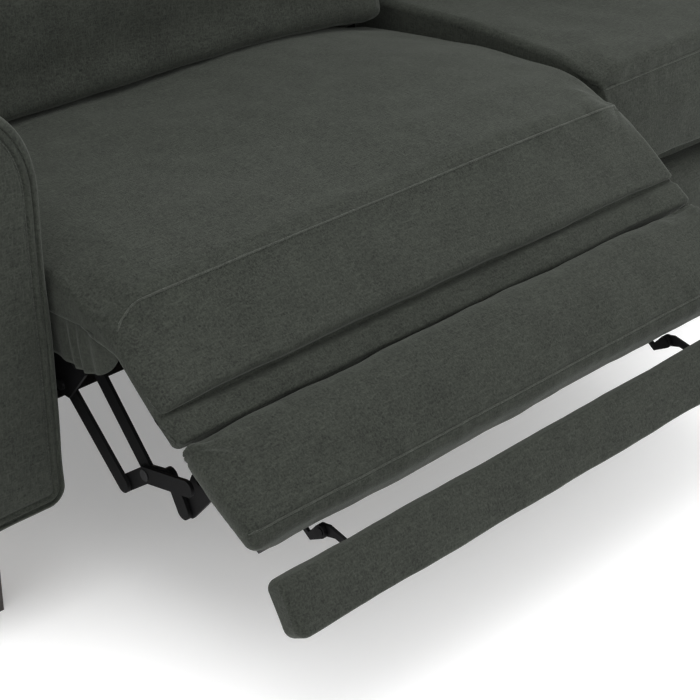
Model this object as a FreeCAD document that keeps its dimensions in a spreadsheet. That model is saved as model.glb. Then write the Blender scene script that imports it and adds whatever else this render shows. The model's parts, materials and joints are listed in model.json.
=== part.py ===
import FreeCAD, Part
import math
import os
import Sketcher

# Two-seat reclining sofa. +Z is up, +X runs from the left arm to the right arm and the
# front faces -Y. The origin is on the floor under the middle of the whole sofa.
# The left seat rests with its footrest open, and the right seat rests closed.

Vector = FreeCAD.Vector
Rotation = FreeCAD.Rotation
Placement = FreeCAD.Placement
X_AXIS = Vector(1, 0, 0)

SIZES = [
    # one seat
    ("seat_width", 850), ("seat_gap", 10), ("seat_slide", 34),
    ("seam_y", -263), ("seam_z", 430), ("seat_crown", 18), ("seat_rear_y", 230),
    ("cushion_base_z", 362), ("cushion_under_y", -173),
    # arms, legs and base
    ("arm_gap", 4), ("arm_width", 185), ("arm_front_y", -183), ("arm_rear_y", 575),
    ("arm_base_z", 152), ("arm_top_z", 657), ("arm_round", 88), ("arm_wall", 20),
    ("frame_top_z", 560), ("panel_board", 15),
    ("leg_top", 54), ("leg_foot", 50), ("front_leg_y", -101), ("rear_leg_y", 495),
    ("centre_leg_y", -5), ("beam_width", 40), ("beam_height", 45), ("beam_start_y", -30),
    ("cross_rail_z", 224), ("cross_rail_height", 46), ("cross_rail_depth", 30),
    ("front_rail_y", 53), ("rear_rail_y", 290),
    ("slide_rail_start_y", 33), ("slide_rail_length", 268), ("slide_clear", 0.4),
    ("rear_panel_y", 553), ("rear_panel_top_z", 330), ("rear_panel_board", 20),
    # seat frame
    ("rail_inset", 60), ("rail_width", 22), ("rail_base_z", 310), ("rail_height", 51),
    ("rail_start_y", -190), ("rail_length", 483), ("rear_tie_y", 200),
    ("strap_width", 50), ("strap_gauge", 1),
    # footrest, measured down the pad from the cross seam
    ("pad_slope", 35), ("pad_gauge", 50), ("pad_length", 128), ("pad_end", 163),
    ("band_recess", 10), ("pad_mitre", 42), ("hinge_clear", 0.5),
    ("bolster_start", 166), ("bolster_end", 297), ("bolster_gauge", 55), ("bolster_round", 20),
    ("rest_board_gauge", 12), ("rest_board_start", 170), ("rest_board_end", 292),
    ("rest_board_inset", 40),
    # flip board
    ("flip_pivot_down", 306), ("flip_pivot_in", 49), ("flip_face", 59.1), ("flip_top", 11.2),
    ("flip_height", 65), ("flip_gauge", 28), ("flip_tilt", 24.4), ("flip_swing", 150),
    ("flip_arm_near_x", 106), ("flip_arm_far_x", 688), ("flip_arm_gauge", 4),
    ("flip_lug_radius", 8),
    # linkage: fixed pivots, lengths between holes, and open and closed link angles
    ("front_pivot_y", -152.0), ("front_pivot_z", 285.1),
    ("rear_pivot_y", -186.8), ("rear_pivot_z", 327.9),
    ("front_link_length", 132.8), ("rear_link_length", 143.9),
    ("tail_length", 157.6), ("tail_drop", 27.9),
    ("cross_link_length", 75.4), ("cross_heel_back", 40.1), ("cross_heel_rise", 17.8),
    ("short_link_length", 42.5),
    ("front_link_open", -136.5), ("front_link_swing", 94.4),
    ("rear_link_open", -131.8), ("rear_link_swing", 85.6),
    ("cross_link_open", 165.9), ("cross_link_swing", -1.5),
    ("short_link_open", -117.8), ("short_link_swing", -139.2),
    ("link_half", 10), ("link_gauge", 4.5), ("layer_step", 6), ("first_layer", 25.5),
    ("plate_inset", 20), ("plate_gauge", 4), ("spacer_radius", 10),
    ("pin_radius", 4), ("running_fit", 0.05), ("head_radius", 7), ("head_gauge", 1),
    ("ottoman_pivot_in", 103.1), ("ottoman_pivot_down", 185.7),
    ("brace_pivot_in", 155.5), ("brace_pivot_down", 193.7),
    # back, measured from the recline pivot along its leaning face
    ("recline_y", 377), ("recline_z", 314), ("back_lean", 12), ("recline_pin_radius", 6),
    ("back_front", -232), ("back_cushion_gauge", 199.5), ("back_low", 110), ("back_high", 600),
    ("back_side_gap", 10), ("back_corner", 45), ("post_inset", 70), ("post_width", 25),
    ("post_front", -30), ("post_depth", 58), ("post_low", -34), ("post_height", 624),
    ("back_tie_height", 45), ("shell_gauge", 12), ("shell_side_gap", 8),
    ("bracket_inset", 56), ("bracket_gauge", 4),
    # linear actuator
    ("channel_width", 30), ("channel_height", 24), ("channel_base_z", 286),
    ("channel_start_y", -60), ("channel_length", 293), ("motor_width", 66),
    ("motor_length", 60), ("motor_height", 70), ("nut_length", 40), ("nut_wall", 6),
    ("nut_clear", 0.4), ("nut_closed_y", 155), ("nut_travel", 130),
]


class Size:
    """A length that keeps both its value and the spreadsheet expression behind it."""

    def __init__(self, value, text):
        self.value = value
        self.text = text

    def __add__(self, other):
        other = as_size(other)
        return Size(self.value + other.value, f"({self.text} + {other.text})")

    def __sub__(self, other):
        other = as_size(other)
        return Size(self.value - other.value, f"({self.text} - {other.text})")

    def __mul__(self, factor):
        factor = as_size(factor)
        return Size(self.value * factor.value, f"({self.text} * {factor.text})")

    def __neg__(self):
        return Size(-self.value, f"(0 - {self.text})")

    __radd__ = __add__
    __rmul__ = __mul__


def as_size(thing):
    if isinstance(thing, Size):
        return thing
    return Size(float(thing), f"({thing})")


class Sheet:
    """The driving dimensions as attributes, each one a Size."""

    def __init__(self, document):
        table = document.addObject("Spreadsheet::Sheet", "Sizes")
        for row, (alias, value) in enumerate(SIZES, start=1):
            table.set(f"A{row}", alias)
            table.set(f"B{row}", str(value))
            table.setAlias(f"B{row}", alias)
            setattr(self, alias, Size(float(value), f"Sizes.{alias}"))


doc = FreeCAD.newDocument("ReclinerSofa")
dim = Sheet(doc)
doc.recompute()
nodes = {}


# ---- building blocks ------------------------------------------------------------------

def bind(thing, prop, size):
    thing.setExpression(prop, as_size(size).text)


def keep(label, piece, place=None):
    """Register a finished sub-part under its node name and set it in its place."""
    if place is not None:
        piece = group([piece])
        piece.Placement = place
    piece.Label = label
    nodes[label] = piece


def box(low, size, name="Block"):
    """Part box from a low corner and three sizes."""
    piece = doc.addObject("Part::Box", name)
    for prop, value in zip(("Length", "Width", "Height"), size):
        bind(piece, prop, value)
    for axis, value in zip("xyz", low):
        bind(piece, f"Placement.Base.{axis}", value)
    return piece


def rod(start, length, radius, name="Rod"):
    """Part cylinder lying along +X."""
    piece = doc.addObject("Part::Cylinder", name)
    bind(piece, "Radius", radius)
    bind(piece, "Height", length)
    piece.Placement = Placement(Vector(), Rotation(Vector(0, 1, 0), 90))
    for axis, value in zip("xyz", start):
        bind(piece, f"Placement.Base.{axis}", value)
    return piece


def group(pieces, name="Group"):
    """Several separate solids kept as one sub-part."""
    whole = doc.addObject("Part::Compound", name)
    whole.Links = pieces
    return whole


def fuse(pieces):
    whole = doc.addObject("Part::MultiFuse", "Joined")
    whole.Shapes = pieces
    return whole


def cut(base, tool):
    whole = doc.addObject("Part::Cut", "Cut")
    whole.Base = base
    whole.Tool = tool
    return whole


def mirrored(piece):
    """The same piece on the other side of a seat's middle plane."""
    other = doc.addObject("Part::Mirroring", "OtherSide")
    other.Source = piece
    other.Normal = X_AXIS
    bind(other, "Base.x", dim.seat_width * 0.5)
    return other


def both_sides(piece):
    return group([piece, mirrored(piece)])


def new_body(name):
    return doc.addObject("PartDesign::Body", name)


def new_sketch(body, role):
    sketch = body.newObject("Sketcher::SketchObject", "Outline")
    plane = [item for item in body.Origin.OriginFeatures if item.Role == role][0]
    sketch.AttachmentSupport = [(plane, "")]
    sketch.MapMode = "FlatFace"
    return sketch


def fix_point(sketch, geometry, position, point):
    """Hold one sketch point at two spreadsheet-driven coordinates."""
    for kind, value in zip(("DistanceX", "DistanceY"), point):
        value = as_size(value)
        index = sketch.addConstraint(Sketcher.Constraint(kind, geometry, position, value.value))
        sketch.setExpression(f"Constraints[{index}]", value.text)


def draw_outline(sketch, points):
    """Closed polygon whose corners all follow the sheet."""
    first = sketch.GeometryCount
    flat = [(as_size(a).value, as_size(b).value) for a, b in points]
    count = len(points)
    for index in range(count):
        start = Vector(*flat[index], 0)
        end = Vector(*flat[(index + 1) % count], 0)
        sketch.addGeometry(Part.LineSegment(start, end), False)
    for index in range(count):
        following = first + (index + 1) % count
        sketch.addConstraint(Sketcher.Constraint("Coincident", first + index, 2, following, 1))
        fix_point(sketch, first + index, 1, points[index])


def draw_circle(sketch, centre, radius):
    centre_at = Vector(as_size(centre[0]).value, as_size(centre[1]).value, 0)
    radius = as_size(radius)
    index = sketch.addGeometry(Part.Circle(centre_at, Vector(0, 0, 1), radius.value), False)
    fix_point(sketch, index, 3, centre)
    number = sketch.addConstraint(Sketcher.Constraint("Radius", index, radius.value))
    sketch.setExpression(f"Constraints[{number}]", radius.text)


def pad(body, sketch, length):
    feature = body.newObject("PartDesign::Pad", "Pad")
    feature.Profile = sketch
    bind(feature, "Length", length)
    sketch.Visibility = False
    return feature


def bore(body, centres, radius):
    """Round holes straight through a body along X."""
    sketch = new_sketch(body, "YZ_Plane")
    for centre in centres:
        draw_circle(sketch, centre, radius)
    doc.recompute()
    before = body.Shape.Volume
    pocket = body.newObject("PartDesign::Pocket", "Bore")
    pocket.Profile = sketch
    pocket.Type = "ThroughAll"
    pocket.Midplane = True
    doc.recompute()
    if body.Shape.Volume >= before:
        raise RuntimeError("a bore removed nothing from " + body.Name)


def profile(points, width, start=0, role="YZ_Plane", holes=(), hole_radius=None):
    """Side outline (Y, Z) stretched along X from a start position."""
    body = new_body("Profile")
    sketch = new_sketch(body, role)
    draw_outline(sketch, points)
    pad(body, sketch, width)
    if holes:
        bore(body, holes, hole_radius)
    bind(body, "Placement.Base.x", start)
    return body


def soften(body, radius, chosen):
    """Round the straight edges of a padded body that a test picks out."""
    doc.recompute()
    names = [f"Edge{n}" for n, edge in enumerate(body.Shape.Edges, start=1) if chosen(edge)]
    solid = body.Tip
    fillet = body.newObject("PartDesign::Fillet", "Softened")
    fillet.Base = (solid, names)
    bind(fillet, "Radius", radius)
    return body


def runs_along(axis):
    def test(edge):
        if len(edge.Vertexes) < 2:
            return False
        span = edge.Vertexes[1].Point - edge.Vertexes[0].Point
        return abs(span.dot(axis)) > 0.999 * span.Length
    return test


def strip(stops, start, holes, hole_radius, rivets=()):
    """Flat steel link: a rounded strip through its pivot points, with its own rivet heads."""
    body = new_body("Link")
    for near, far in zip(stops, stops[1:]):
        draw_strip(body, near, far)
    bore(body, holes, hole_radius)
    bind(body, "Placement.Base.x", start)
    if not rivets:
        return body
    heads = [rod((start, y, z), dim.link_gauge + dim.head_gauge, dim.pin_radius + dim.running_fit)
             for y, z in rivets]
    return fuse([body] + heads)


def draw_strip(body, near, far):
    """One straight run of a link, with a half round at each end."""
    sketch = new_sketch(body, "YZ_Plane")
    radius = dim.link_half
    ends = [Vector(as_size(y).value, as_size(z).value, 0) for y, z in (near, far)]
    along = (ends[1] - ends[0]).normalize()
    side = Vector(-along.y, along.x, 0) * radius.value
    turn = math.atan2(along.y, along.x)
    lines = ((ends[0] - side, ends[1] - side), (ends[1] + side, ends[0] + side))
    half = math.pi / 2
    for centre, sweep, line in ((ends[0], (turn + half, turn + 3 * half), lines[0]),
                                (ends[1], (turn - half, turn + half), lines[1])):
        circle = Part.Circle(centre, Vector(0, 0, 1), radius.value)
        sketch.addGeometry(Part.ArcOfCircle(circle, *sweep), False)
        sketch.addGeometry(Part.LineSegment(*line), False)
    for index in range(4):
        sketch.addConstraint(Sketcher.Constraint("Tangent", index, 2, (index + 1) % 4, 1))
    fix_point(sketch, 0, 3, near)
    fix_point(sketch, 2, 3, far)
    number = sketch.addConstraint(Sketcher.Constraint("Radius", 0, radius.value))
    sketch.setExpression(f"Constraints[{number}]", radius.text)
    pad(body, sketch, dim.link_gauge)


# ---- where each moving body stands -----------------------------------------------------

def turned(angle, y, z):
    """Position in the Y-Z plane with a turn about +X."""
    return Placement(Vector(0, y, z), Rotation(X_AXIS, angle))


def carried(place, y, z):
    """Where a point of a placed body lands, as (y, z)."""
    point = place.multVec(Vector(0, y, z))
    return point.y, point.z


def seat_poses(is_open, offset):
    """Placements of one seat's moving bodies, open or closed."""
    closed = 0 if is_open else 1
    shift = Placement(Vector(offset, closed * dim.seat_slide.value, 0), Rotation())
    footrest = turned((dim.pad_slope.value - 90) * (1 - closed), dim.seam_y.value,
                      dim.seam_z.value)
    front = turned(dim.front_link_open.value + closed * dim.front_link_swing.value,
                   dim.front_pivot_y.value, dim.front_pivot_z.value)
    rear = turned(dim.rear_link_open.value + closed * dim.rear_link_swing.value,
                  dim.rear_pivot_y.value, dim.rear_pivot_z.value)
    cross = turned(dim.cross_link_open.value + closed * dim.cross_link_swing.value,
                   *carried(rear, dim.rear_link_length.value, 0))
    short = turned(dim.short_link_open.value + closed * dim.short_link_swing.value,
                   *carried(rear, dim.tail_length.value, -dim.tail_drop.value))
    footrest_angle = (dim.pad_slope.value - 90) * (1 - closed)
    flip = turned(footrest_angle + dim.flip_tilt.value + closed * dim.flip_swing.value,
                  *carried(footrest, dim.flip_pivot_in.value, -dim.flip_pivot_down.value))
    back = turned(-dim.back_lean.value, dim.recline_y.value, dim.recline_z.value)
    nut = turned(0, dim.nut_closed_y.value - (1 - closed) * dim.nut_travel.value, 0)
    places = dict(seat=Placement(), footrest=footrest, front=front, rear=rear, cross=cross,
                  short=short, flip=flip, back=back, nut=nut)
    return {name: shift * place for name, place in places.items()}


def layer(number):
    """Distance of a link layer from the seat's side edge."""
    return dim.first_layer + dim.layer_step * number


# ---- shared base -----------------------------------------------------------------------

def half_width():
    return dim.seat_width + dim.seat_gap * 0.5 + dim.arm_gap


def make_arm(side, sign):
    """Rounded upholstered arm cover over a plywood box, open underneath."""
    low_x = half_width() if sign > 0 else -(half_width() + dim.arm_width)
    length = dim.arm_rear_y - dim.arm_front_y
    height = dim.arm_top_z - dim.arm_base_z
    body = new_body("ArmCover")
    sketch = new_sketch(body, "XY_Plane")
    corners = [(0, 0), (dim.arm_width, 0), (dim.arm_width, length), (0, length)]
    draw_outline(sketch, corners)
    pad(body, sketch, height)
    doc.recompute()
    top = height.value

    def is_top_long_edge(edge):
        return runs_along(Vector(0, 1, 0))(edge) and edge.Vertexes[0].Point.z > top - 1

    soften(body, dim.arm_round, is_top_long_edge)
    bind(body, "Placement.Base.x", low_x)
    bind(body, "Placement.Base.y", dim.arm_front_y)
    bind(body, "Placement.Base.z", dim.arm_base_z)
    wall = dim.arm_wall
    hollow_low = (low_x + wall, dim.arm_front_y + wall, dim.arm_base_z)
    hollow_size = (dim.arm_width - wall * 2, length - wall * 2, dim.frame_top_z - dim.arm_base_z)
    keep(f"{side}_arm_cover", cut(body, box(hollow_low, hollow_size)))
    board = dim.panel_board
    inner_low = (hollow_low[0] + board, hollow_low[1] + board, dim.arm_base_z)
    inner_size = (hollow_size[0] - board * 2, hollow_size[1] - board * 2,
                  hollow_size[2] - board)
    walls = cut(box(hollow_low, hollow_size), box(inner_low, inner_size))
    floor_board = box(inner_low, (inner_size[0], inner_size[1], board))
    keep(f"{side}_arm_frame", group([walls, floor_board]))


def tapered_leg(x, y, top_z, top_size, foot_size):
    """Square timber leg, lofted from its foot up to the frame."""
    body = new_body("Leg")
    squares = []
    for height, width in ((0, foot_size), (top_z, top_size)):
        sketch = new_sketch(body, "XY_Plane")
        bind(sketch, "AttachmentOffset.Base.z", height)
        reach = width * 0.5
        draw_outline(sketch, [(-reach, -reach), (reach, -reach), (reach, reach), (-reach, reach)])
        squares.append(sketch)
    loft = body.newObject("PartDesign::AdditiveLoft", "Taper")
    loft.Profile = squares[0]
    loft.Sections = [squares[1]]
    loft.Ruled = True
    bind(body, "Placement.Base.x", x)
    bind(body, "Placement.Base.y", y)
    return body


def make_base():
    for side, sign in (("left", -1), ("right", 1)):
        make_arm(side, sign)
    leg_x = half_width() + dim.arm_width * 0.5
    legs = [tapered_leg(x, y, dim.arm_base_z, dim.leg_top, dim.leg_foot)
            for x in (-leg_x, leg_x) for y in (dim.front_leg_y, dim.rear_leg_y)]
    beam_z = dim.cross_rail_z - dim.beam_height
    for y in (dim.centre_leg_y, dim.rear_leg_y):
        legs.append(tapered_leg(as_size(0), y, beam_z, dim.beam_width, dim.beam_width * 0.8))
    keep("legs", group(legs))
    span = half_width() * 2
    rails = [box((-half_width(), y, dim.cross_rail_z),
                 (span, dim.cross_rail_depth, dim.cross_rail_height))
             for y in (dim.front_rail_y, dim.rear_rail_y)]
    beam_length = dim.rear_panel_y - dim.beam_start_y
    rails.append(box((-(dim.beam_width * 0.5), dim.beam_start_y, beam_z),
                     (dim.beam_width, beam_length, dim.beam_height)))
    keep("base_rails", group(rails))
    slide_z = dim.cross_rail_z + dim.cross_rail_height
    slide_height = dim.rail_base_z - slide_z - dim.slide_clear
    slides = []
    for offset in seat_offsets().values():
        for inset in (dim.rail_inset, dim.seat_width - dim.rail_inset - dim.rail_width):
            slides.append(box((offset + inset, dim.slide_rail_start_y, slide_z),
                              (dim.rail_width, dim.slide_rail_length, slide_height)))
    keep("slide_rails", group(slides))
    panel = box((-half_width(), dim.rear_panel_y, dim.arm_base_z),
                (span, dim.rear_panel_board, dim.rear_panel_top_z - dim.arm_base_z))
    keep("rear_panel", panel)


def seat_offsets():
    """Where the left edge of each seat stands along X."""
    return {"left": -(dim.seat_width + dim.seat_gap * 0.5), "right": dim.seat_gap * 0.5}


# ---- one seat --------------------------------------------------------------------------

def make_seat_frame(side, place):
    rail = profile([(dim.rail_start_y, dim.rail_base_z),
                    (dim.rail_start_y + dim.rail_length, dim.rail_base_z),
                    (dim.rail_start_y + dim.rail_length, dim.rail_base_z + dim.rail_height),
                    (dim.rail_start_y, dim.rail_base_z + dim.rail_height)],
                   dim.rail_width, dim.rail_inset)
    keep(f"{side}_seat_side_rails", both_sides(rail), place)
    tie_start = dim.rail_inset + dim.rail_width
    tie_size = (dim.seat_width - tie_start * 2, dim.rail_width, dim.rail_height)
    ties = [box((tie_start, y, dim.rail_base_z), tie_size)
            for y in (dim.rail_start_y, dim.rear_tie_y)]
    keep(f"{side}_seat_cross_rails", group(ties), place)
    strap_length = dim.rear_tie_y + dim.rail_width - dim.rail_start_y
    strap_count = 7
    pitch = (tie_size[0] - dim.strap_width) * (1 / (strap_count - 1))
    straps = [box((tie_start + pitch * number, dim.rail_start_y, dim.rail_base_z + dim.rail_height),
                  (dim.strap_width, strap_length, dim.strap_gauge))
              for number in range(strap_count)]
    keep(f"{side}_seat_webbing", group(straps), place)


def make_seat_cushion(side, place):
    clear = dim.hinge_clear
    crown_z = dim.seam_z + dim.seat_crown
    outline = [(dim.seam_y + clear, dim.seam_z - clear), (dim.cushion_under_y, dim.cushion_base_z),
               (dim.seat_rear_y, dim.cushion_base_z), (dim.seat_rear_y, crown_z),
               (dim.seam_y + 110, crown_z)]
    keep(f"{side}_seat_cushion", profile(outline, dim.seat_width), place)


def make_mechanism_plates(side, place):
    """Pressed steel side plates, their spacers, and the two fixed pivot pins of each."""
    top = dim.rail_base_z + dim.rail_height - 16
    low = dim.rail_base_z - 10
    outline = [(dim.rear_pivot_y - 13, top), (dim.rear_pivot_y - 13, dim.rear_pivot_z - 12),
               (dim.front_pivot_y - 13, dim.front_pivot_z - 13),
               (dim.front_pivot_y + 17, dim.front_pivot_z - 13),
               (dim.front_pivot_y + 32, low), (dim.seat_rear_y, low), (dim.seat_rear_y, top)]
    pivots = [(dim.front_pivot_y, dim.front_pivot_z), (dim.rear_pivot_y, dim.rear_pivot_z)]
    plate = profile(outline, dim.plate_gauge, dim.plate_inset, holes=pivots,
                    hole_radius=dim.pin_radius)
    reach = dim.rail_inset - dim.plate_inset - dim.plate_gauge
    spacers = [rod((dim.plate_inset + dim.plate_gauge, y, dim.rail_base_z + 18), reach,
                   dim.spacer_radius) for y in (dim.front_pivot_y + 92, dim.seat_rear_y - 45)]
    keep(f"{side}_mechanism_plates", both_sides(fuse([plate] + spacers)), place)
    pins = []
    for (y, z), number in zip(pivots, (0, 2)):
        end = layer(number) + dim.link_gauge
        shaft = rod((dim.plate_inset, y, z), end - dim.plate_inset, dim.pin_radius)
        heads = [rod((dim.plate_inset - 3, y, z), 3, dim.head_radius),
                 rod((end, y, z), dim.head_gauge, dim.head_radius)]
        pins.append(fuse([shaft] + heads))
    keep(f"{side}_pivot_pins", group(pins + [mirrored(pin) for pin in pins]), place)


def make_footrest(side, place):
    """Chaise pad, bolster, board and brackets: built hanging straight down from the seam."""
    clear = dim.hinge_clear
    chaise = [(0, -clear), (0, -dim.pad_length), (dim.band_recess, -dim.pad_length),
              (dim.band_recess, -dim.pad_end), (dim.pad_gauge, -dim.pad_end),
              (dim.pad_gauge, -dim.pad_mitre)]
    keep(f"{side}_chaise_pad", profile(chaise, dim.seat_width), place)
    bolster = profile([(0, -dim.bolster_start), (0, -dim.bolster_end),
                       (dim.bolster_gauge, -dim.bolster_end),
                       (dim.bolster_gauge, -dim.bolster_start)], dim.seat_width)

    def is_long_front_edge(edge):
        return runs_along(X_AXIS)(edge) and edge.Vertexes[0].Point.y < 1

    soften(bolster, dim.bolster_round, is_long_front_edge)
    keep(f"{side}_footrest_bolster", bolster, place)
    board_back = dim.bolster_gauge + dim.rest_board_gauge
    board = profile([(dim.bolster_gauge, -dim.rest_board_start),
                     (dim.bolster_gauge, -dim.rest_board_end),
                     (board_back, -dim.rest_board_end), (board_back, -dim.rest_board_start)],
                    dim.seat_width - dim.rest_board_inset * 2, dim.rest_board_inset)
    keep(f"{side}_footrest_board", board, place)
    ottoman = (dim.ottoman_pivot_in, -dim.ottoman_pivot_down)
    brace = (dim.brace_pivot_in, -dim.brace_pivot_down)
    reach = 12
    outline = [(board_back, ottoman[1] + reach + 2), (board_back, brace[1] - reach * 1.6),
               (brace[0], brace[1] - reach), (brace[0] + reach, brace[1] - 4),
               (brace[0] + reach, brace[1] + 6), (brace[0] - 6, brace[1] + reach),
               (ottoman[0] + 4, ottoman[1] + reach)]
    bracket = profile(outline, dim.link_gauge, layer(4), holes=[ottoman, brace],
                      hole_radius=dim.pin_radius)
    keep(f"{side}_footrest_brackets", both_sides(bracket), place)
    pivot = (dim.flip_pivot_in, -dim.flip_pivot_down)
    ears = []
    for start in (dim.flip_arm_near_x, dim.flip_arm_far_x):
        ear = [(board_back, pivot[1] + 56), (board_back + 6, pivot[1] + 56),
               (board_back + 6, pivot[1] + 2), (pivot[0] + 4, pivot[1] - 6.9),
               (pivot[0], pivot[1]), (pivot[0] + 1, pivot[1] + 7.9), (board_back, pivot[1] + 9)]
        body = profile(ear, dim.flip_arm_gauge, start)
        lug = rod((start, *pivot), dim.flip_arm_gauge, dim.flip_lug_radius)
        pin_start = start + dim.flip_arm_gauge
        pin = rod((pin_start, *pivot), dim.flip_arm_gauge + 1, dim.pin_radius)
        rivet_head = rod((start - dim.head_gauge, *pivot), dim.head_gauge, dim.pin_radius + 1)
        ears.append(fuse([body, lug, pin, rivet_head]))
    keep(f"{side}_flip_hinges", group(ears), place)


def make_flip_board(side, place):
    """Padded flip board on two short arms that turn about the hinge pins."""
    face = -dim.flip_face
    top = -dim.flip_top
    outline = [(face, top), (face, top - dim.flip_height),
               (face + dim.flip_gauge, top - dim.flip_height), (face + dim.flip_gauge, top)]
    keep(f"{side}_flip_board", profile(outline, dim.seat_width), place)
    arms = []
    board_back = face + dim.flip_gauge
    for start in (dim.flip_arm_near_x, dim.flip_arm_far_x):
        arm = [(0, 0), (1, 7.9), (-13, 4), (board_back, -12), (board_back, top - 40),
               (board_back + 9, top - 40), (board_back + 9.5, -15), (-16, -10.5), (-3, -7.4)]
        plane = start + dim.flip_arm_gauge + 0.5
        lug = rod((plane, 0, 0), dim.flip_arm_gauge, dim.flip_lug_radius)
        blank = fuse([profile(arm, dim.flip_arm_gauge, plane), lug])
        arms.append(cut(blank, rod((plane - 1, 0, 0), dim.flip_arm_gauge + 2,
                                   dim.pin_radius + dim.running_fit)))
    keep(f"{side}_flip_arms", group(arms), place)


def make_links(side, poses):
    """The lazy-tong: front and rear links, the cross link and the short brace link."""
    running = dim.pin_radius + dim.running_fit
    origin = (0, 0)
    front_end = (dim.front_link_length, 0)
    front = strip([origin, front_end], layer(0), [origin], running, rivets=[front_end])
    keep(f"{side}_front_links", both_sides(front), poses["front"])
    rear_end = (dim.rear_link_length, 0)
    tail = (dim.tail_length, -dim.tail_drop)
    rear = strip([origin, rear_end, tail], layer(2), [origin], running)
    rear = cut(rear, fuse([rod((layer(2) - 1, y, z), dim.link_gauge + 2, dim.pin_radius)
                           for y, z in (rear_end, tail)]))
    keep(f"{side}_rear_links", both_sides(rear), poses["rear"])
    rivets = []
    for (y, z), start, finish in ((rear_end, 1, 2), (tail, 2, 3)):
        low = layer(start)
        high = layer(finish) + dim.link_gauge
        shaft = rod((low, y, z), high - low, dim.pin_radius)
        heads = [rod((low - dim.head_gauge, y, z), dim.head_gauge, dim.head_radius),
                 rod((high, y, z), dim.head_gauge, dim.head_radius)]
        rivets.append(fuse([shaft] + heads))
    pairs = rivets + [mirrored(rivet) for rivet in rivets]
    keep(f"{side}_link_rivets", group(pairs), poses["rear"])
    heel = (-dim.cross_heel_back, dim.cross_heel_rise)
    toe = (dim.cross_link_length, 0)
    cross = strip([heel, origin, toe], layer(1), [origin], running)
    keep(f"{side}_cross_links", both_sides(cross), poses["cross"])
    end = (dim.short_link_length, 0)
    short = strip([origin, end], layer(3), [origin], running)
    keep(f"{side}_short_links", both_sides(short), poses["short"])


def make_back(side, place, seat_place):
    """Leaning back: posts, ties, webbing, rear shell and cushion, on two seat brackets."""
    post_end = dim.post_low + dim.post_height
    post_rear = dim.post_front + dim.post_depth
    post = profile([(dim.post_front, dim.post_low), (post_rear, dim.post_low),
                    (post_rear, post_end), (dim.post_front, post_end)],
                   dim.post_width, dim.post_inset, holes=[(0, 0)],
                   hole_radius=dim.recline_pin_radius + dim.running_fit)
    keep(f"{side}_back_posts", both_sides(post), place)
    tie_start = dim.post_inset + dim.post_width
    tie_length = dim.seat_width - tie_start * 2
    ties = [box((tie_start, dim.post_front + dim.strap_gauge, z),
                (tie_length, dim.post_depth - dim.strap_gauge, dim.back_tie_height))
            for z in (dim.post_low + 60, post_end - dim.back_tie_height)]
    keep(f"{side}_back_ties", group(ties), place)
    strap_count = 5
    strap_low = dim.post_low + 60
    pitch = (tie_length - dim.strap_width) * (1 / (strap_count - 1))
    straps = [box((tie_start + pitch * number, dim.post_front, strap_low),
                  (dim.strap_width, dim.strap_gauge, post_end - strap_low))
              for number in range(strap_count)]
    keep(f"{side}_back_webbing", group(straps), place)
    gap = dim.shell_side_gap
    shell = box((gap, post_rear, dim.post_low + 10),
                (dim.seat_width - gap * 2, dim.shell_gauge, dim.post_height))
    keep(f"{side}_back_shell", shell, place)
    front = dim.back_front
    rear = front + dim.back_cushion_gauge
    cushion = profile([(front, dim.back_low), (rear, dim.back_low), (rear, dim.back_high),
                       (front, dim.back_high)],
                      dim.seat_width - dim.back_side_gap * 2, dim.back_side_gap)

    def is_long_top_edge(edge):
        return runs_along(X_AXIS)(edge) and edge.Vertexes[0].Point.z > dim.back_high.value - 1

    soften(cushion, dim.back_corner, is_long_top_edge)
    keep(f"{side}_back_cushion", cushion, place)
    base = dim.rail_base_z
    top = base + dim.rail_height
    end = dim.rail_start_y + dim.rail_length
    outline = [(dim.rear_tie_y, top), (dim.rear_tie_y, base + 5),
               (dim.recline_y - 17, dim.recline_z - 18), (dim.recline_y + 12, dim.recline_z - 16),
               (dim.recline_y + 16, dim.recline_z + 8), (dim.recline_y - 2, dim.recline_z + 18),
               (end, top)]
    plate = profile(outline, dim.bracket_gauge, dim.bracket_inset)
    pin_length = dim.post_inset + dim.post_width - dim.bracket_inset
    pin = rod((dim.bracket_inset, dim.recline_y, dim.recline_z), pin_length,
              dim.recline_pin_radius)
    keep(f"{side}_recline_brackets", both_sides(fuse([plate, pin])), seat_place)


def make_actuator(side, seat_place, nut_place):
    """Gearmotor and channel on the seat, with a nut that runs along the channel."""
    middle = dim.seat_width * 0.5
    channel_low = (middle - dim.channel_width * 0.5, dim.channel_start_y, dim.channel_base_z)
    channel = box(channel_low, (dim.channel_width, dim.channel_length, dim.channel_height))
    motor = box((middle - dim.motor_width * 0.5, dim.channel_start_y + dim.channel_length,
                 dim.channel_base_z - 10), (dim.motor_width, dim.motor_length, dim.motor_height))
    keep(f"{side}_actuator", fuse([channel, motor]), seat_place)
    wall = dim.nut_wall
    clear = dim.nut_clear
    bore_low = (channel_low[0] - clear, -1, channel_low[2] - clear)
    bore_size = (dim.channel_width + clear * 2, dim.nut_length + 2,
                 dim.channel_height + clear * 2)
    outer_low = (bore_low[0] - wall, 0, bore_low[2] - wall)
    outer_size = (bore_size[0] + wall * 2, dim.nut_length, bore_size[2] + wall * 2)
    keep(f"{side}_actuator_nut", cut(box(outer_low, outer_size), box(bore_low, bore_size)),
         nut_place)


def make_seat(side, is_open):
    poses = seat_poses(is_open, seat_offsets()[side].value)
    make_seat_frame(side, poses["seat"])
    make_seat_cushion(side, poses["seat"])
    make_mechanism_plates(side, poses["seat"])
    make_footrest(side, poses["footrest"])
    make_flip_board(side, poses["flip"])
    make_links(side, poses)
    make_back(side, poses["back"], poses["seat"])
    make_actuator(side, poses["seat"], poses["nut"])


# ---- build, check and write ------------------------------------------------------------

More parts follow.
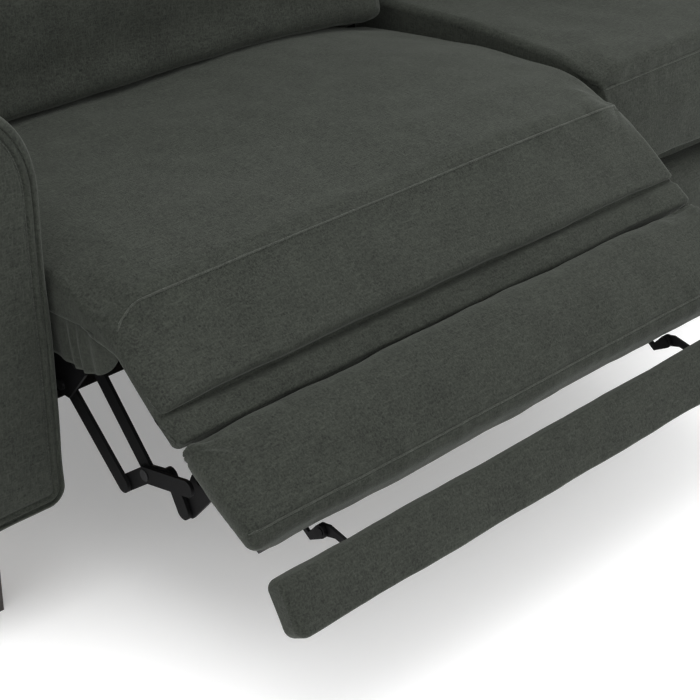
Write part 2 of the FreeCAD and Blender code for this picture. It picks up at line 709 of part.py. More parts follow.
make_base()
make_seat("left", True)
make_seat("right", False)
doc.recompute()

for item in doc.Objects:
    if "Invalid" in item.State or "Error" in item.State:
        raise RuntimeError(f"{item.Label} failed: {item.State}")
os.makedirs("parts", exist_ok=True)
for label, piece in nodes.items():
    shape = piece.Shape
    if shape.isNull() or not shape.isValid() or shape.Volume <= 0:
        raise RuntimeError(f"{label} has no valid solid")
    shape.exportStep(f"parts/{label}.step")
print(len(nodes), "sub-parts written")
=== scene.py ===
"""Looks of the two-seat reclining sofa: upholstery, stitching and finishes over its frame."""

import json
import math

import bmesh
import bpy
import numpy as np
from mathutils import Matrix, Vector, kdtree, noise


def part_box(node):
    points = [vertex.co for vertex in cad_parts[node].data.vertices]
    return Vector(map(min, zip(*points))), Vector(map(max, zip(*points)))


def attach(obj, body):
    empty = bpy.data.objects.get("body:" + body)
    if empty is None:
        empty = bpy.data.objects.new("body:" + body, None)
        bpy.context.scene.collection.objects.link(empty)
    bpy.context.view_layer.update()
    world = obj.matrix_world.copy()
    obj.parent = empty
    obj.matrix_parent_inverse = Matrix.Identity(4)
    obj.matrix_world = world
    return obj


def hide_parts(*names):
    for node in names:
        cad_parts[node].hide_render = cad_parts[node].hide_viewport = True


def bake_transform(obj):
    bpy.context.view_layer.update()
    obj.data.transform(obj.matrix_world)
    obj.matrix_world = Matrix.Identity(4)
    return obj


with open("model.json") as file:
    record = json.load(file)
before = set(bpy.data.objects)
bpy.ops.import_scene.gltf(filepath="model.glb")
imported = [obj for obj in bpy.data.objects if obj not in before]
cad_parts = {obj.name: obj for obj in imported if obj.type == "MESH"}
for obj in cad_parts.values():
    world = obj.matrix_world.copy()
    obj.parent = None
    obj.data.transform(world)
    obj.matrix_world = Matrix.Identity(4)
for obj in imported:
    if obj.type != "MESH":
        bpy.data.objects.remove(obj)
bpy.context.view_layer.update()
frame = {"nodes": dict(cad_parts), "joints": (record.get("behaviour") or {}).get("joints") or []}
joints = {joint["name"]: joint for joint in frame["joints"]}

SIDES = ("left", "right")

# Lengths are in metres.
BACK_LEAN = math.radians(12)
FLIP_TILT = math.radians(24.4)
FLIP_SWING = math.radians(150)
BAND_RECESS = 0.011       # how far the plain band lies behind the chaise pad's lip
LIP_FOLD = 0.008          # how much deeper the fold under that lip is
STATION_STEP = 0.005      # spacing of the rings that a pad is lofted through
SEAM_STEP = 0.002         # spacing of the points along a seam
ARM_CROWN = 0.118         # height of the rounded top of an arm
ARM_FOOT = 0.024          # radius of an arm's lower corners
SIM_FRAMES = 20           # length of each stuffing simulation
RING_STEP = 0.012         # spacing of the rings along the side of a boxed form
CAST_REACH = 0.1          # how far outside a surface the points dropped on it start
FLOOR_LEVEL = 0.001       # points lower than this stand on the floor
SKIRT_GAUGE = 0.0016      # thickness of the side skirts' cloth
FLAP_GAUGE = 0.0014       # thickness of the tuck flaps' cloth
LINING_GAUGE = 0.0008     # thickness of the dust cloth
WASHER_GAUGE = 0.0014     # thickness of the washers under the screws
WASHER_SHARE = 1.5        # radius of a washer as a share of its screw head's


# ---- seats -----------------------------------------------------------------------------

class Seat:
    """Where one seat stands at rest, read from its CAD nodes and joints."""

    def __init__(self, side):
        self.side = side
        self.low, self.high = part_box(f"{side}_seat_cushion")
        self.width = self.high.x - self.low.x
        footrest = joints[f"{side}_footrest"]
        low_turn, high_turn = footrest["range_deg"]
        self.is_open = high_turn > 0
        self.seam = footrest["pos_m"][1:]
        self.tilt = -math.radians(high_turn - low_turn) if self.is_open else 0.0
        self.recline = joints[f"{side}_back_recline"]["pos_m"][1:]
        self.flip_pivot = joints[f"{side}_flip"]["pos_m"][1:]
        self.flip_turn = self.tilt + FLIP_TILT + (0 if self.is_open else FLIP_SWING)
        self.lip_down = 0.128 if self.is_open else 0.141
        self.seam_back = 0.0 if self.is_open else 0.008
        self.seam_lift = 0.0 if self.is_open else 0.006

    def from_arm(self, x):
        """Distance of x from the seat's arm end."""
        return x - self.low.x if self.side == "left" else self.high.x - x

    def from_ends(self, x):
        return min(x - self.low.x, self.high.x - x)

    def crown(self, x):
        """0 at either end of the seat and 1 where its pads are fullest."""
        share = min(1.0, max(0.0, self.from_arm(x) / self.width))
        return math.sin(math.pi * share ** 0.85)

    def droop(self, x, place):
        """How far the top falls towards its ends, at the seam, front or rear of the seat."""
        near = max(0.0, 1 - self.from_arm(x) / 0.085)
        far = max(0.0, 1 - (self.width - self.from_arm(x)) / 0.3)
        arm_fall, inner_fall = {"seam": (0.016, 0.020), "front": (0.012, 0.010),
                                "middle": (0.010, 0.022), "rear": (0.010, 0.042)}[place]
        if not self.is_open:
            inner_fall *= 0.2
        return arm_fall * near ** 1.5 + inner_fall * far ** 2.0

    def on_footrest(self, down, inward):
        """A footrest point, from the seam: down the pad and inward through it, as (y, z)."""
        return turned((inward, -down), self.seam, self.tilt)

    def footrest_way(self, down, inward):
        """A direction given down the footrest and inward through it."""
        return Vector((0, *turned((inward, -down), (0, 0), self.tilt)))

    def seam_xs(self, short):
        """Places along the seat's width, stopping short of both ends."""
        return np.arange(self.low.x + short, self.high.x - short + 0.0001, SEAM_STEP)


def turned(point, pivot, angle):
    """A local (y, z) turned about X and set on a pivot."""
    y, z = point
    cosine, sine = math.cos(angle), math.sin(angle)
    return pivot[0] + y * cosine - z * sine, pivot[1] + y * sine + z * cosine


def local_box(node, pivot, angle):
    """Lowest and highest (x, y, z) of a CAD node, measured square to a turned body."""
    points = np.array([v.co for v in frame["nodes"][node].data.vertices])
    y, z = points[:, 1] - pivot[0], points[:, 2] - pivot[1]
    cosine, sine = math.cos(angle), math.sin(angle)
    local = np.column_stack((points[:, 0], y * cosine + z * sine, z * cosine - y * sine))
    return Vector(local.min(0)), Vector(local.max(0))


def smooth(value):
    value = min(1.0, max(0.0, value))
    return value * value * (3 - 2 * value)


def mix(a, b, share):
    return a + (b - a) * share


# ---- meshes ----------------------------------------------------------------------------

def mesh_piece(name, points, faces, finish):
    """A mesh object at the origin, with outward normals and smooth faces."""
    mesh = bpy.data.meshes.new(name)
    mesh.from_pydata([tuple(map(float, p)) for p in points], [], faces)
    shell = bmesh.new()
    shell.from_mesh(mesh)
    bmesh.ops.remove_doubles(shell, verts=shell.verts, dist=1e-6)
    bmesh.ops.recalc_face_normals(shell, faces=shell.faces)
    shell.to_mesh(mesh)
    shell.free()
    mesh.shade_smooth()
    mesh.materials.append(finish)
    piece = bpy.data.objects.new(name, mesh)
    bpy.context.scene.collection.objects.link(piece)
    return piece


def loft(name, rings, finish):
    """A closed form through rings of equal point count, with a flat face over each end."""
    rings = np.array(rings)
    count, around = rings.shape[:2]
    faces = []
    for row in range(count - 1):
        for step in range(around):
            after = (step + 1) % around
            faces.append((row * around + step, row * around + after,
                          (row + 1) * around + after, (row + 1) * around + step))
    faces.append(tuple(range(around)))
    faces.append(tuple(range((count - 1) * around, count * around)))
    return mesh_piece(name, rings.reshape(-1, 3), faces, finish)


def rounded_loop(corners, arc_steps=6):
    """Closed outline with an arc at each corner: (a, b, radius, steps to the next corner)."""
    arcs = []
    count = len(corners)
    for index, (a, b, radius, _) in enumerate(corners):
        here = np.array((a, b))
        before = np.array(corners[index - 1][:2]) - here
        after = np.array(corners[(index + 1) % count][:2]) - here
        reach = 0.49 * min(np.linalg.norm(before), np.linalg.norm(after))
        before, after = before / np.linalg.norm(before), after / np.linalg.norm(after)
        half = math.acos(max(-0.9999, min(0.9999, before @ after))) / 2
        trim = min(radius / math.tan(half), reach)
        radius = trim * math.tan(half)
        middle = before + after
        middle = middle / max(np.linalg.norm(middle), 1e-9)
        centre = here + middle * radius / math.sin(half)
        start, end = here + before * trim - centre, here + after * trim - centre
        first = math.atan2(start[1], start[0])
        sweep = (math.atan2(end[1], end[0]) - first + math.pi) % math.tau - math.pi
        turns = first + sweep * np.linspace(0, 1, arc_steps + 1)
        arcs.append(centre + radius * np.column_stack((np.cos(turns), np.sin(turns))))
    loop = []
    for index, arc in enumerate(arcs):
        loop.extend(arc)
        following = arcs[(index + 1) % count][0]
        steps = corners[index][3]
        for step in range(1, steps):
            loop.append(mix(arc[-1], following, step / steps))
    return np.array(loop)


def shrunk(loop, distance):
    """A closed outline moved inward by a distance."""
    if distance <= 0:
        return loop
    along = np.roll(loop, -1, 0) - np.roll(loop, 1, 0)
    along /= np.maximum(np.linalg.norm(along, axis=1, keepdims=True), 1e-9)
    following = np.roll(loop, -1, 0)
    area = np.sum(loop[:, 0] * following[:, 1] - following[:, 0] * loop[:, 1])
    inward = np.column_stack((-along[:, 1], along[:, 0])) * (1 if area > 0 else -1)
    return loop + inward * distance


def stations(low, high, edge, edge_steps=7, step=STATION_STEP):
    """Positions along a padded form and the inset of each, so that both ends are rounded."""
    turns = np.linspace(0, math.pi / 2, edge_steps + 1)
    near = [(low + edge * (1 - math.cos(t)), edge * (1 - math.sin(t))) for t in turns]
    far = [(low + high - place, inset) for place, inset in reversed(near)]
    count = max(2, round((high - low - 2 * edge) / step))
    middle = [(mix(low + edge, high - edge, k / count), 0.0) for k in range(1, count)]
    return near + middle + far


def pad_along_x(name, low, high, edge, outline, finish, step=STATION_STEP):
    """A pad lofted along X; outline(x) gives its (y, z) corners as a closed loop."""
    rings = []
    for x, inset in stations(low, high, edge, step=step):
        loop = shrunk(outline(x), inset)
        rings.append(np.column_stack((np.full(len(loop), x), loop)))
    return loft(name, rings, finish)


def read_points(piece):
    count = len(piece.data.vertices)
    points, normals = np.empty(count * 3), np.empty(count * 3)
    piece.data.vertices.foreach_get("co", points)
    piece.data.vertex_normals.foreach_get("vector", normals)
    return points.reshape(-1, 3), normals.reshape(-1, 3)


def write_points(piece, points):
    piece.data.vertices.foreach_set("co", points.ravel())
    piece.data.update()


def raise_surface(piece, *reliefs):
    """Move each vertex along its normal by the sum of the reliefs at its place."""
    points, normals = read_points(piece)
    heights = sum(relief(points) for relief in reliefs)
    write_points(piece, points + normals * heights[:, None])


def even_mesh(piece, voxel):
    """Rebuild a closed form as even quads, ready for simulation."""
    remesh = piece.modifiers.new("Even mesh", "REMESH")
    remesh.mode = "VOXEL"
    remesh.voxel_size = voxel
    remesh.use_smooth_shade = True
    keep_modified(piece)


def keep_modified(piece):
    """Make the modified mesh the piece's own, and drop the modifiers."""
    bpy.context.view_layer.update()
    ready = piece.evaluated_get(bpy.context.evaluated_depsgraph_get())
    mesh = bpy.data.meshes.new_from_object(ready)
    piece.modifiers.clear()
    piece.data = mesh


def soft_limit(moved, low, high):
    """A movement eased so that it never passes low or high."""
    return np.where(moved > 0, high * np.tanh(moved / high), -low * np.tanh(moved / -low))


def stuff(piece, limits, lean, pressure=4.0, voxel=0.007, freedom=None):
    """Swell a padded form with a short cloth simulation. limits hold the furthest that a point
    may move each way along X and the body's own turned Y and Z axes; freedom gives the share
    of its movement that each point keeps."""
    even_mesh(piece, voxel)
    start, _ = read_points(piece)
    cloth = piece.modifiers.new("Stuffing", "CLOTH")
    cloth.settings.quality = 4
    cloth.settings.use_pressure = True
    cloth.settings.uniform_pressure_force = pressure
    cloth.settings.effector_weights.gravity = 0
    cloth.point_cache.frame_start = 1
    cloth.point_cache.frame_end = SIM_FRAMES
    scene = bpy.context.scene
    for moment in range(1, SIM_FRAMES + 1):
        scene.frame_set(moment)
    keep_modified(piece)
    scene.frame_set(1)
    swollen, _ = read_points(piece)
    cosine, sine = math.cos(lean), math.sin(lean)
    axes = np.array(((1, 0, 0), (0, cosine, sine), (0, -sine, cosine)))
    moved = (swollen - start) @ axes.T
    eased = np.column_stack([soft_limit(moved[:, k], *limits[k]) for k in range(3)])
    if freedom is not None:
        eased *= freedom(start)[:, None]
    write_points(piece, start + eased @ axes)
    finer = piece.modifiers.new("Finer", "SUBSURF")
    finer.levels = finer.render_levels = 1
    keep_modified(piece)
    piece.data.shade_smooth()


def soft_waves(depth, span, seed=0.0):
    """Slow unevenness of a stuffed cover: its depth and span in metres, and where it starts."""
    def relief(points):
        shift = Vector((seed, seed * 0.7, -seed))
        return np.array([noise.noise(Vector(p) / span + shift) for p in points]) * depth
    return relief


def seam_line(line, depth=0.0022, width=0.0035, pucker=0.0008, reach=0.014, pitch=0.017):
    """A sewn seam: a groove along a line, with small puckers running off it."""
    tree = kdtree.KDTree(len(line))
    for index, point in enumerate(line):
        tree.insert(point, index)
    tree.balance()
    steps = np.linalg.norm(np.diff(np.array(line), axis=0), axis=1)
    along = np.concatenate(([0.0], np.cumsum(steps)))

    def relief(points):
        found = [tree.find(p) for p in points]
        away = np.array([f[2] for f in found])
        run = along[[f[1] for f in found]]
        folds = np.array([noise.noise(Vector((place / pitch, reach * 90, 0))) for place in run])
        folds *= 0.9 + 0.5 * np.sin(run * 11.0) + 0.3 * np.sin(run * 27.0)
        groove = -depth * np.exp(-(away / width) ** 2)
        return groove + pucker * folds * np.exp(-(away / reach) ** 2)
    return relief


def gathers(centre, reach, depth, folds, across):
    """Folds that fan out from the corner of a cover; across is the pair of axes they fan in."""
    def relief(points):
        offset = points - np.array(centre)
        away = np.linalg.norm(offset, axis=1)
        turn = np.arctan2(offset @ np.array(across[1]), offset @ np.array(across[0]))
        fade = np.exp(-(away / reach) ** 2) * np.clip(away / (0.3 * reach), 0, 1)
        rays = np.array([noise.noise(Vector((t * folds, centre[0] * 9, 0.4))) for t in turn])
        return 1.6 * depth * rays * fade
    return relief


def tube(name, lines, radius, finish, sides=8):
    """Thin cords of cloth along lines of points, closed at both ends."""
    points, faces = [], []
    for line in lines:
        line = np.array(line)
        along = np.gradient(line, axis=0)
        along /= np.linalg.norm(along, axis=1, keepdims=True)
        side = np.cross(along, (0.31, 0.52, 0.79))
        side /= np.linalg.norm(side, axis=1, keepdims=True)
        up = np.cross(along, side)
        first = len(points)
        for index, place in enumerate(line):
            end = min(index, len(line) - 1 - index)
            size = radius * min(1.0, 0.35 + 0.25 * end)
            for turn in np.linspace(0, math.tau, sides, endpoint=False):
                points.append(place + size * (math.cos(turn) * side[index]
                                              + math.sin(turn) * up[index]))
        for row in range(len(line) - 1):
            for k in range(sides):
                a, b = first + row * sides + k, first + row * sides + (k + 1) % sides
                faces.append((a, b, b + sides, a + sides))
        last = first + (len(line) - 1) * sides
        faces.append(tuple(range(first, first + sides)))
        faces.append(tuple(range(last, last + sides)))
    return mesh_piece(name, points, faces, finish)


def surface_line(piece, starts, direction, lift=0.0):
    """Points of a piece's surface met from each start along a direction."""
    points = []
    for start in starts:
        hit, place, normal, _ = piece.ray_cast(Vector(start), Vector(direction))
        if hit:
            points.append(np.array(place + normal * lift))
    return points


def welt_along(name, piece, line, away, lift, radius):
    """A thin cord of the paler seam cloth, a painted highlight, laid on a piece's surface along a
    line.
    """
    ridge = surface_line(piece, [Vector(p) + away * CAST_REACH for p in line], -away, lift)
    return tube(name, [ridge], radius, HIGHLIT_SEAM_CLOTH)


# ---- materials -------------------------------------------------------------------------

class Finish:
    """A material under construction: named nodes and links in one place."""

    def __init__(self, name, roughness, metallic=0.0):
        self.material = bpy.data.materials.new(name)
        self.material.use_nodes = True
        self.nodes = self.material.node_tree.nodes
        self.links = self.material.node_tree.links
        self.shader = self.nodes["Principled BSDF"]
        self.shader.inputs["Roughness"].default_value = roughness
        self.shader.inputs["Metallic"].default_value = metallic
        self.place = self.nodes.new("ShaderNodeTexCoord").outputs["Object"]

    def link(self, source, target):
        self.links.new(source, target)

    def stretched(self, scale):
        """Object coordinates with a scale of their own on each axis."""
        node = self.nodes.new("ShaderNodeMapping")
        node.inputs["Scale"].default_value = scale
        self.link(self.place, node.inputs["Vector"])
        return node.outputs["Vector"]

    def grain(self, scale, detail=2.0, rough=0.5, distortion=0.0):
        """A noise value with its own scale on each axis."""
        node = self.nodes.new("ShaderNodeTexNoise")
        node.inputs["Scale"].default_value = 1.0
        node.inputs["Detail"].default_value = detail
        node.inputs["Roughness"].default_value = rough
        node.inputs["Distortion"].default_value = distortion
        self.link(self.stretched(scale), node.inputs["Vector"])
        return node.outputs["Fac"]

    def wave(self, scale, direction="X", profile="SIN"):
        node = self.nodes.new("ShaderNodeTexWave")
        node.bands_direction = direction
        node.wave_profile = profile
        node.inputs["Scale"].default_value = scale
        node.inputs["Distortion"].default_value = 0.4
        self.link(self.place, node.inputs["Vector"])
        return node.outputs["Fac"]

    def math(self, operation, a, b):
        node = self.nodes.new("ShaderNodeMath")
        node.operation = operation
        for socket, value in zip(node.inputs, (a, b)):
            if isinstance(value, (int, float)):
                socket.default_value = value
            else:
                self.link(value, socket)
        return node.outputs["Value"]

    def ramp(self, value, stops):
        node = self.nodes.new("ShaderNodeValToRGB")
        while len(node.color_ramp.elements) < len(stops):
            node.color_ramp.elements.new(0.5)
        for element, (place, colour) in zip(node.color_ramp.elements, stops):
            element.position = place
            element.color = (*colour, 1)
        self.link(value, node.inputs["Fac"])
        return node.outputs["Color"]

    def colour(self, value, stops):
        self.link(self.ramp(value, stops), self.shader.inputs["Base Color"])

    def roughness(self, value, low, high):
        """Roughness from a grey value stretched to a range."""
        node = self.nodes.new("ShaderNodeMapRange")
        node.inputs["To Min"].default_value = low
        node.inputs["To Max"].default_value = high
        self.link(value, node.inputs["Value"])
        self.link(node.outputs["Result"], self.shader.inputs["Roughness"])

    def bump(self, height, strength, distance):
        node = self.nodes.new("ShaderNodeBump")
        node.inputs["Strength"].default_value = strength
        node.inputs["Distance"].default_value = distance
        self.link(height, node.inputs["Height"])
        self.link(node.outputs["Normal"], self.shader.inputs["Normal"])


def chenille(name, dark, pale, sheen=0.13):
    """Soft woven chenille: crossed slubs, a fine speckle and slow shading of the nap."""
    cloth = Finish(name, 0.9)
    along = cloth.grain((90, 420, 420), detail=3)
    across = cloth.grain((420, 420, 90), detail=3)
    depthwise = cloth.grain((420, 90, 420), detail=3)
    speckle = cloth.grain((480,) * 3, detail=3, rough=0.7)
    nap = cloth.grain((22,) * 3, detail=4)
    slubs = cloth.math("MAXIMUM", along, cloth.math("MAXIMUM", across, depthwise))
    weave = cloth.math("ADD", cloth.math("MULTIPLY", slubs, 0.62),
                       cloth.math("MULTIPLY", speckle, 0.38))
    shade = cloth.math("ADD", cloth.math("MULTIPLY", weave, 0.9),
                       cloth.math("MULTIPLY", nap, 0.1))
    middle = tuple(mix(a, b, 0.5) for a, b in zip(dark, pale))
    cloth.colour(shade, ((0.40, dark), (0.53, middle), (0.66, pale)))
    cloth.roughness(weave, 0.98, 0.82)
    cloth.bump(weave, 0.5, 0.0012)
    cloth.shader.inputs["Sheen Weight"].default_value = sheen
    cloth.shader.inputs["Sheen Roughness"].default_value = 0.45
    cloth.shader.inputs["Sheen Tint"].default_value = (0.62, 0.66, 0.6, 1)
    cloth.shader.inputs["Specular IOR Level"].default_value = 0.25
    return cloth.material


def powder_coat(name):
    steel = Finish(name, 0.5)
    peel = steel.grain((1400,) * 3, detail=2)
    wear = steel.grain((60,) * 3, detail=5, rough=0.7)
    steel.colour(wear, ((0.3, (0.0022, 0.0022, 0.0024)), (0.62, (0.0036, 0.0036, 0.0039)),
                        (0.8, (0.0090, 0.0086, 0.0086))))
    steel.roughness(wear, 0.50, 0.72)
    steel.bump(peel, 0.25, 0.0003)
    steel.shader.inputs["Specular IOR Level"].default_value = 0.10
    return steel.material


def worn_steel(name, dark, pale):
    steel = Finish(name, 0.35, metallic=1.0)
    scratches = steel.grain((240, 1500, 240), detail=4)
    steel.colour(scratches, ((0.3, dark), (0.75, pale)))
    steel.roughness(scratches, 0.28, 0.5)
    steel.bump(scratches, 0.2, 0.0002)
    return steel.material


def timber(name, dark, pale, scale, gloss):
    """Straight-grained wood; scale is smallest along the grain."""
    wood = Finish(name, gloss)
    rings = wood.grain(scale, detail=5, rough=0.6, distortion=0.5)
    pores = wood.grain(tuple(4 * s for s in scale), detail=3)
    grain = wood.math("ADD", wood.math("MULTIPLY", rings, 0.7),
                      wood.math("MULTIPLY", pores, 0.3))
    wood.colour(grain, ((0.3, dark), (0.7, pale)))
    wood.roughness(pores, gloss - 0.08, gloss + 0.12)
    wood.bump(grain, 0.3, 0.0006)
    return wood.material


def woven_strap(name):
    strap = Finish(name, 0.8)
    ribs = strap.math("MULTIPLY", strap.wave(260, "X"), strap.wave(260, "Y"))
    fuzz = strap.grain((700,) * 3, detail=2)
    weave = strap.math("ADD", strap.math("MULTIPLY", ribs, 0.6),
                       strap.math("MULTIPLY", fuzz, 0.4))
    strap.colour(weave, ((0.2, (0.008, 0.008, 0.008)), (0.8, (0.035, 0.034, 0.033))))
    strap.roughness(fuzz, 0.7, 0.95)
    strap.bump(ribs, 0.6, 0.001)
    return strap.material


def moulded(name, dark, pale, gloss):
    plastic = Finish(name, gloss)
    texture = plastic.grain((1800,) * 3, detail=1)
    scuffs = plastic.grain((45,) * 3, detail=5, rough=0.7)
    plastic.colour(scuffs, ((0.35, dark), (0.75, pale)))
    plastic.roughness(scuffs, gloss - 0.08, gloss + 0.12)
    plastic.bump(texture, 0.3, 0.0003)
    return plastic.material


COVER = chenille("charcoal_chenille", (0.0050, 0.0059, 0.0044), (0.0300, 0.0342, 0.0268))
# The seam cords' cloth is a paler, glossier copy of the cover cloth: a painted highlight along the
# seams.
HIGHLIT_SEAM_CLOTH = chenille("seam_cloth", (0.013, 0.015, 0.012), (0.046, 0.050, 0.042), sheen=0.2)
THREAD = chenille("sewing_thread", (0.015, 0.017, 0.014), (0.048, 0.052, 0.044), sheen=0.1)
BLACK_STEEL = powder_coat("black_powder_coat")
RIVET_STEEL = worn_steel("blackened_rivet", (0.018, 0.018, 0.019), (0.075, 0.075, 0.078))
ZINC_STEEL = worn_steel("zinc_screw", (0.30, 0.30, 0.29), (0.55, 0.54, 0.50))
LEG_TIMBER = timber("stained_leg_timber", (0.012, 0.010, 0.009), (0.042, 0.034, 0.029),
                    (160, 160, 9), 0.42)
FRAME_TIMBER = timber("frame_timber", (0.34, 0.22, 0.12), (0.56, 0.41, 0.25), (6, 110, 110), 0.7)
PLYWOOD = timber("plywood", (0.36, 0.25, 0.15), (0.60, 0.46, 0.31), (14, 14, 240), 0.72)
STRAP = woven_strap("elastic_webbing")
HOUSING = moulded("actuator_housing", (0.013, 0.013, 0.014), (0.030, 0.030, 0.031), 0.5)
NYLON = moulded("nylon_nut", (0.50, 0.49, 0.46), (0.66, 0.65, 0.61), 0.45)
LINING_AND_GAP_SHADE = woven_strap("black_lining")
RUBBER = moulded("leg_glide", (0.010, 0.010, 0.010), (0.022, 0.022, 0.022), 0.8)

NODE_FINISHES = {
    LEG_TIMBER: "legs",
    FRAME_TIMBER: "base_rails slide_rails seat_cross_rails",
    PLYWOOD: "arm_frame",
    # The seat side rails take the black lining instead of timber, so the gap beside the seat cover
    # shows dark: painted shade.
    LINING_AND_GAP_SHADE: "seat_side_rails footrest_board",
    STRAP: "seat_webbing back_webbing",
    COVER: "back_posts back_ties",
    BLACK_STEEL: "mechanism_plates recline_brackets footrest_brackets flip_hinges flip_arms "
                 "front_links rear_links cross_links short_links",
    RIVET_STEEL: "pivot_pins link_rivets",
    HOUSING: "actuator",
    NYLON: "actuator_nut",
}


def finish_cad_nodes():
    finishes = {kind: finish for finish, kinds in NODE_FINISHES.items()
                for kind in kinds.split()}
    for name, node in frame["nodes"].items():
        kind = name.removeprefix("left_").removeprefix("right_")
        if kind in finishes:
            node.data.materials.clear()
            node.data.materials.append(finishes[kind])


# ---- repeated stitches and screws ------------------------------------------------------

def new_tree(name, sizes):
    """A Geometry Nodes tree with the named number inputs, a material input and one output."""
    tree = bpy.data.node_groups.new(name, "GeometryNodeTree")
    tree.interface.new_socket("Geometry", in_out="INPUT", socket_type="NodeSocketGeometry")
    for size in sizes:
        tree.interface.new_socket(size, in_out="INPUT", socket_type="NodeSocketFloat")
    tree.interface.new_socket("Finish", in_out="INPUT", socket_type="NodeSocketMaterial")
    tree.interface.new_socket("Geometry", in_out="OUTPUT", socket_type="NodeSocketGeometry")
    return tree, tree.nodes.new("NodeGroupInput"), tree.nodes.new("NodeGroupOutput")


def finish_tree(tree, inputs, outputs, instances):
    real = tree.nodes.new("GeometryNodeRealizeInstances")
    painted = tree.nodes.new("GeometryNodeSetMaterial")
    tree.links.new(instances, real.inputs["Geometry"])
    tree.links.new(real.outputs["Geometry"], painted.inputs["Geometry"])
    tree.links.new(inputs.outputs["Finish"], painted.inputs["Material"])
    tree.links.new(painted.outputs["Geometry"], outputs.inputs["Geometry"])


def instances_on(tree, points, instance, facing):
    """Instances on points, each standing with its Z axis along the facing vector."""
    aim = tree.nodes.new("FunctionNodeAlignRotationToVector")
    aim.axis = "Z"
    tree.links.new(facing, aim.inputs["Vector"])
    laid = tree.nodes.new("GeometryNodeInstanceOnPoints")
    tree.links.new(points, laid.inputs["Points"])
    tree.links.new(instance, laid.inputs["Instance"])
    tree.links.new(aim.outputs["Rotation"], laid.inputs["Rotation"])
    return laid


def stitch_tree():
    """Small oval stitches laid end to end along every line of the input."""
    tree, inputs, outputs = new_tree("stitch_rows", ("Pitch", "Stitch length", "Thread width"))
    new, link = tree.nodes.new, tree.links.new
    curve = new("GeometryNodeMeshToCurve")
    link(inputs.outputs["Geometry"], curve.inputs["Mesh"])
    steps = new("GeometryNodeResampleCurve")
    steps.mode = "LENGTH"
    link(curve.outputs["Curve"], steps.inputs["Curve"])
    link(inputs.outputs["Pitch"], steps.inputs["Length"])
    stitch = new("GeometryNodeMeshUVSphere")
    stitch.inputs["Segments"].default_value = 6
    stitch.inputs["Rings"].default_value = 5
    stitch.inputs["Radius"].default_value = 0.5
    size = new("ShaderNodeCombineXYZ")
    for axis in ("X", "Y"):
        link(inputs.outputs["Thread width"], size.inputs[axis])
    link(inputs.outputs["Stitch length"], size.inputs["Z"])
    laid = instances_on(tree, steps.outputs["Curve"], stitch.outputs["Mesh"],
                        new("GeometryNodeInputTangent").outputs["Tangent"])
    link(size.outputs["Vector"], laid.inputs["Scale"])
    finish_tree(tree, inputs, outputs, laid.outputs["Instances"])
    return tree


def screw_tree():
    """A hexagon head on a washer at each point of the input, standing along the point's normal."""
    tree, inputs, outputs = new_tree("screw_heads", ("Head radius", "Head height"))
    new, link = tree.nodes.new, tree.links.new
    head = new("GeometryNodeMeshCylinder")
    head.inputs["Vertices"].default_value = 6
    link(inputs.outputs["Head radius"], head.inputs["Radius"])
    link(inputs.outputs["Head height"], head.inputs["Depth"])
    washer = new("GeometryNodeMeshCylinder")
    washer.inputs["Vertices"].default_value = 20
    washer.inputs["Depth"].default_value = WASHER_GAUGE
    wider = new("ShaderNodeMath")
    wider.operation = "MULTIPLY"
    wider.inputs[1].default_value = WASHER_SHARE
    link(inputs.outputs["Head radius"], wider.inputs[0])
    link(wider.outputs["Value"], washer.inputs["Radius"])
    both = new("GeometryNodeJoinGeometry")
    link(head.outputs["Mesh"], both.inputs["Geometry"])
    link(washer.outputs["Mesh"], both.inputs["Geometry"])
    laid = instances_on(tree, inputs.outputs["Geometry"], both.outputs["Geometry"],
                        new("GeometryNodeInputNormal").outputs["Normal"])
    finish_tree(tree, inputs, outputs, laid.outputs["Instances"])
    return tree


def grow(name, seed_mesh, tree, finish, **sizes):
    """Run a Geometry Nodes tree over a seed mesh and keep the result as a plain piece."""
    seed = bpy.data.objects.new(name + "_seed", seed_mesh)
    bpy.context.scene.collection.objects.link(seed)
    modifier = seed.modifiers.new("Grow", "NODES")
    modifier.node_group = tree
    names = {item.name: item.identifier for item in tree.interface.items_tree
             if item.in_out == "INPUT"}
    for label, value in sizes.items():
        modifier[names[label.replace("_", " ").capitalize()]] = value
    modifier[names["Finish"]] = finish
    bpy.context.view_layer.update()
    ready = seed.evaluated_get(bpy.context.evaluated_depsgraph_get())
    mesh = bpy.data.meshes.new_from_object(ready)
    mesh.name = name
    seed.modifiers.remove(modifier)
    bpy.data.objects.remove(seed)
    piece = bpy.data.objects.new(name, mesh)
    bpy.context.scene.collection.objects.link(piece)
    return piece


STITCHES = stitch_tree()
SCREWS = screw_tree()


def stitch_rows(name, lines, pitch=0.0055, length=0.0042, width=0.0011):
    """Topstitching along lines of points, as one piece."""
    mesh = bpy.data.meshes.new(name + "_lines")
    points, edges = [], []
    for line in lines:
        edges += [(len(points) + k, len(points) + k + 1) for k in range(len(line) - 1)]
        points += [tuple(map(float, p)) for p in line]
    mesh.from_pydata(points, edges, [])
    return grow(name, mesh, STITCHES, THREAD, pitch=pitch, stitch_length=length,
                thread_width=width)


def screw_heads(name, places, facing, radius=0.0055, height=0.005):
    """Screw heads at places; each faces along the direction given for it."""
    points, faces = [], []
    for place, direction in zip(places, facing):
        direction = Vector(direction).normalized()
        side = direction.orthogonal().normalized() * 1e-4
        other = direction.cross(side)
        first = len(points)
        points += [tuple(Vector(place) + side), tuple(Vector(place) + other),
                   tuple(Vector(place) - side - other)]
        faces.append((first, first + 1, first + 2))
    mesh = bpy.data.meshes.new(name + "_places")
    mesh.from_pydata(points, [], faces)
    return grow(name, mesh, SCREWS, ZINC_STEEL, head_radius=radius, head_height=height)


# ---- seat and chaise cover -------------------------------------------------------------

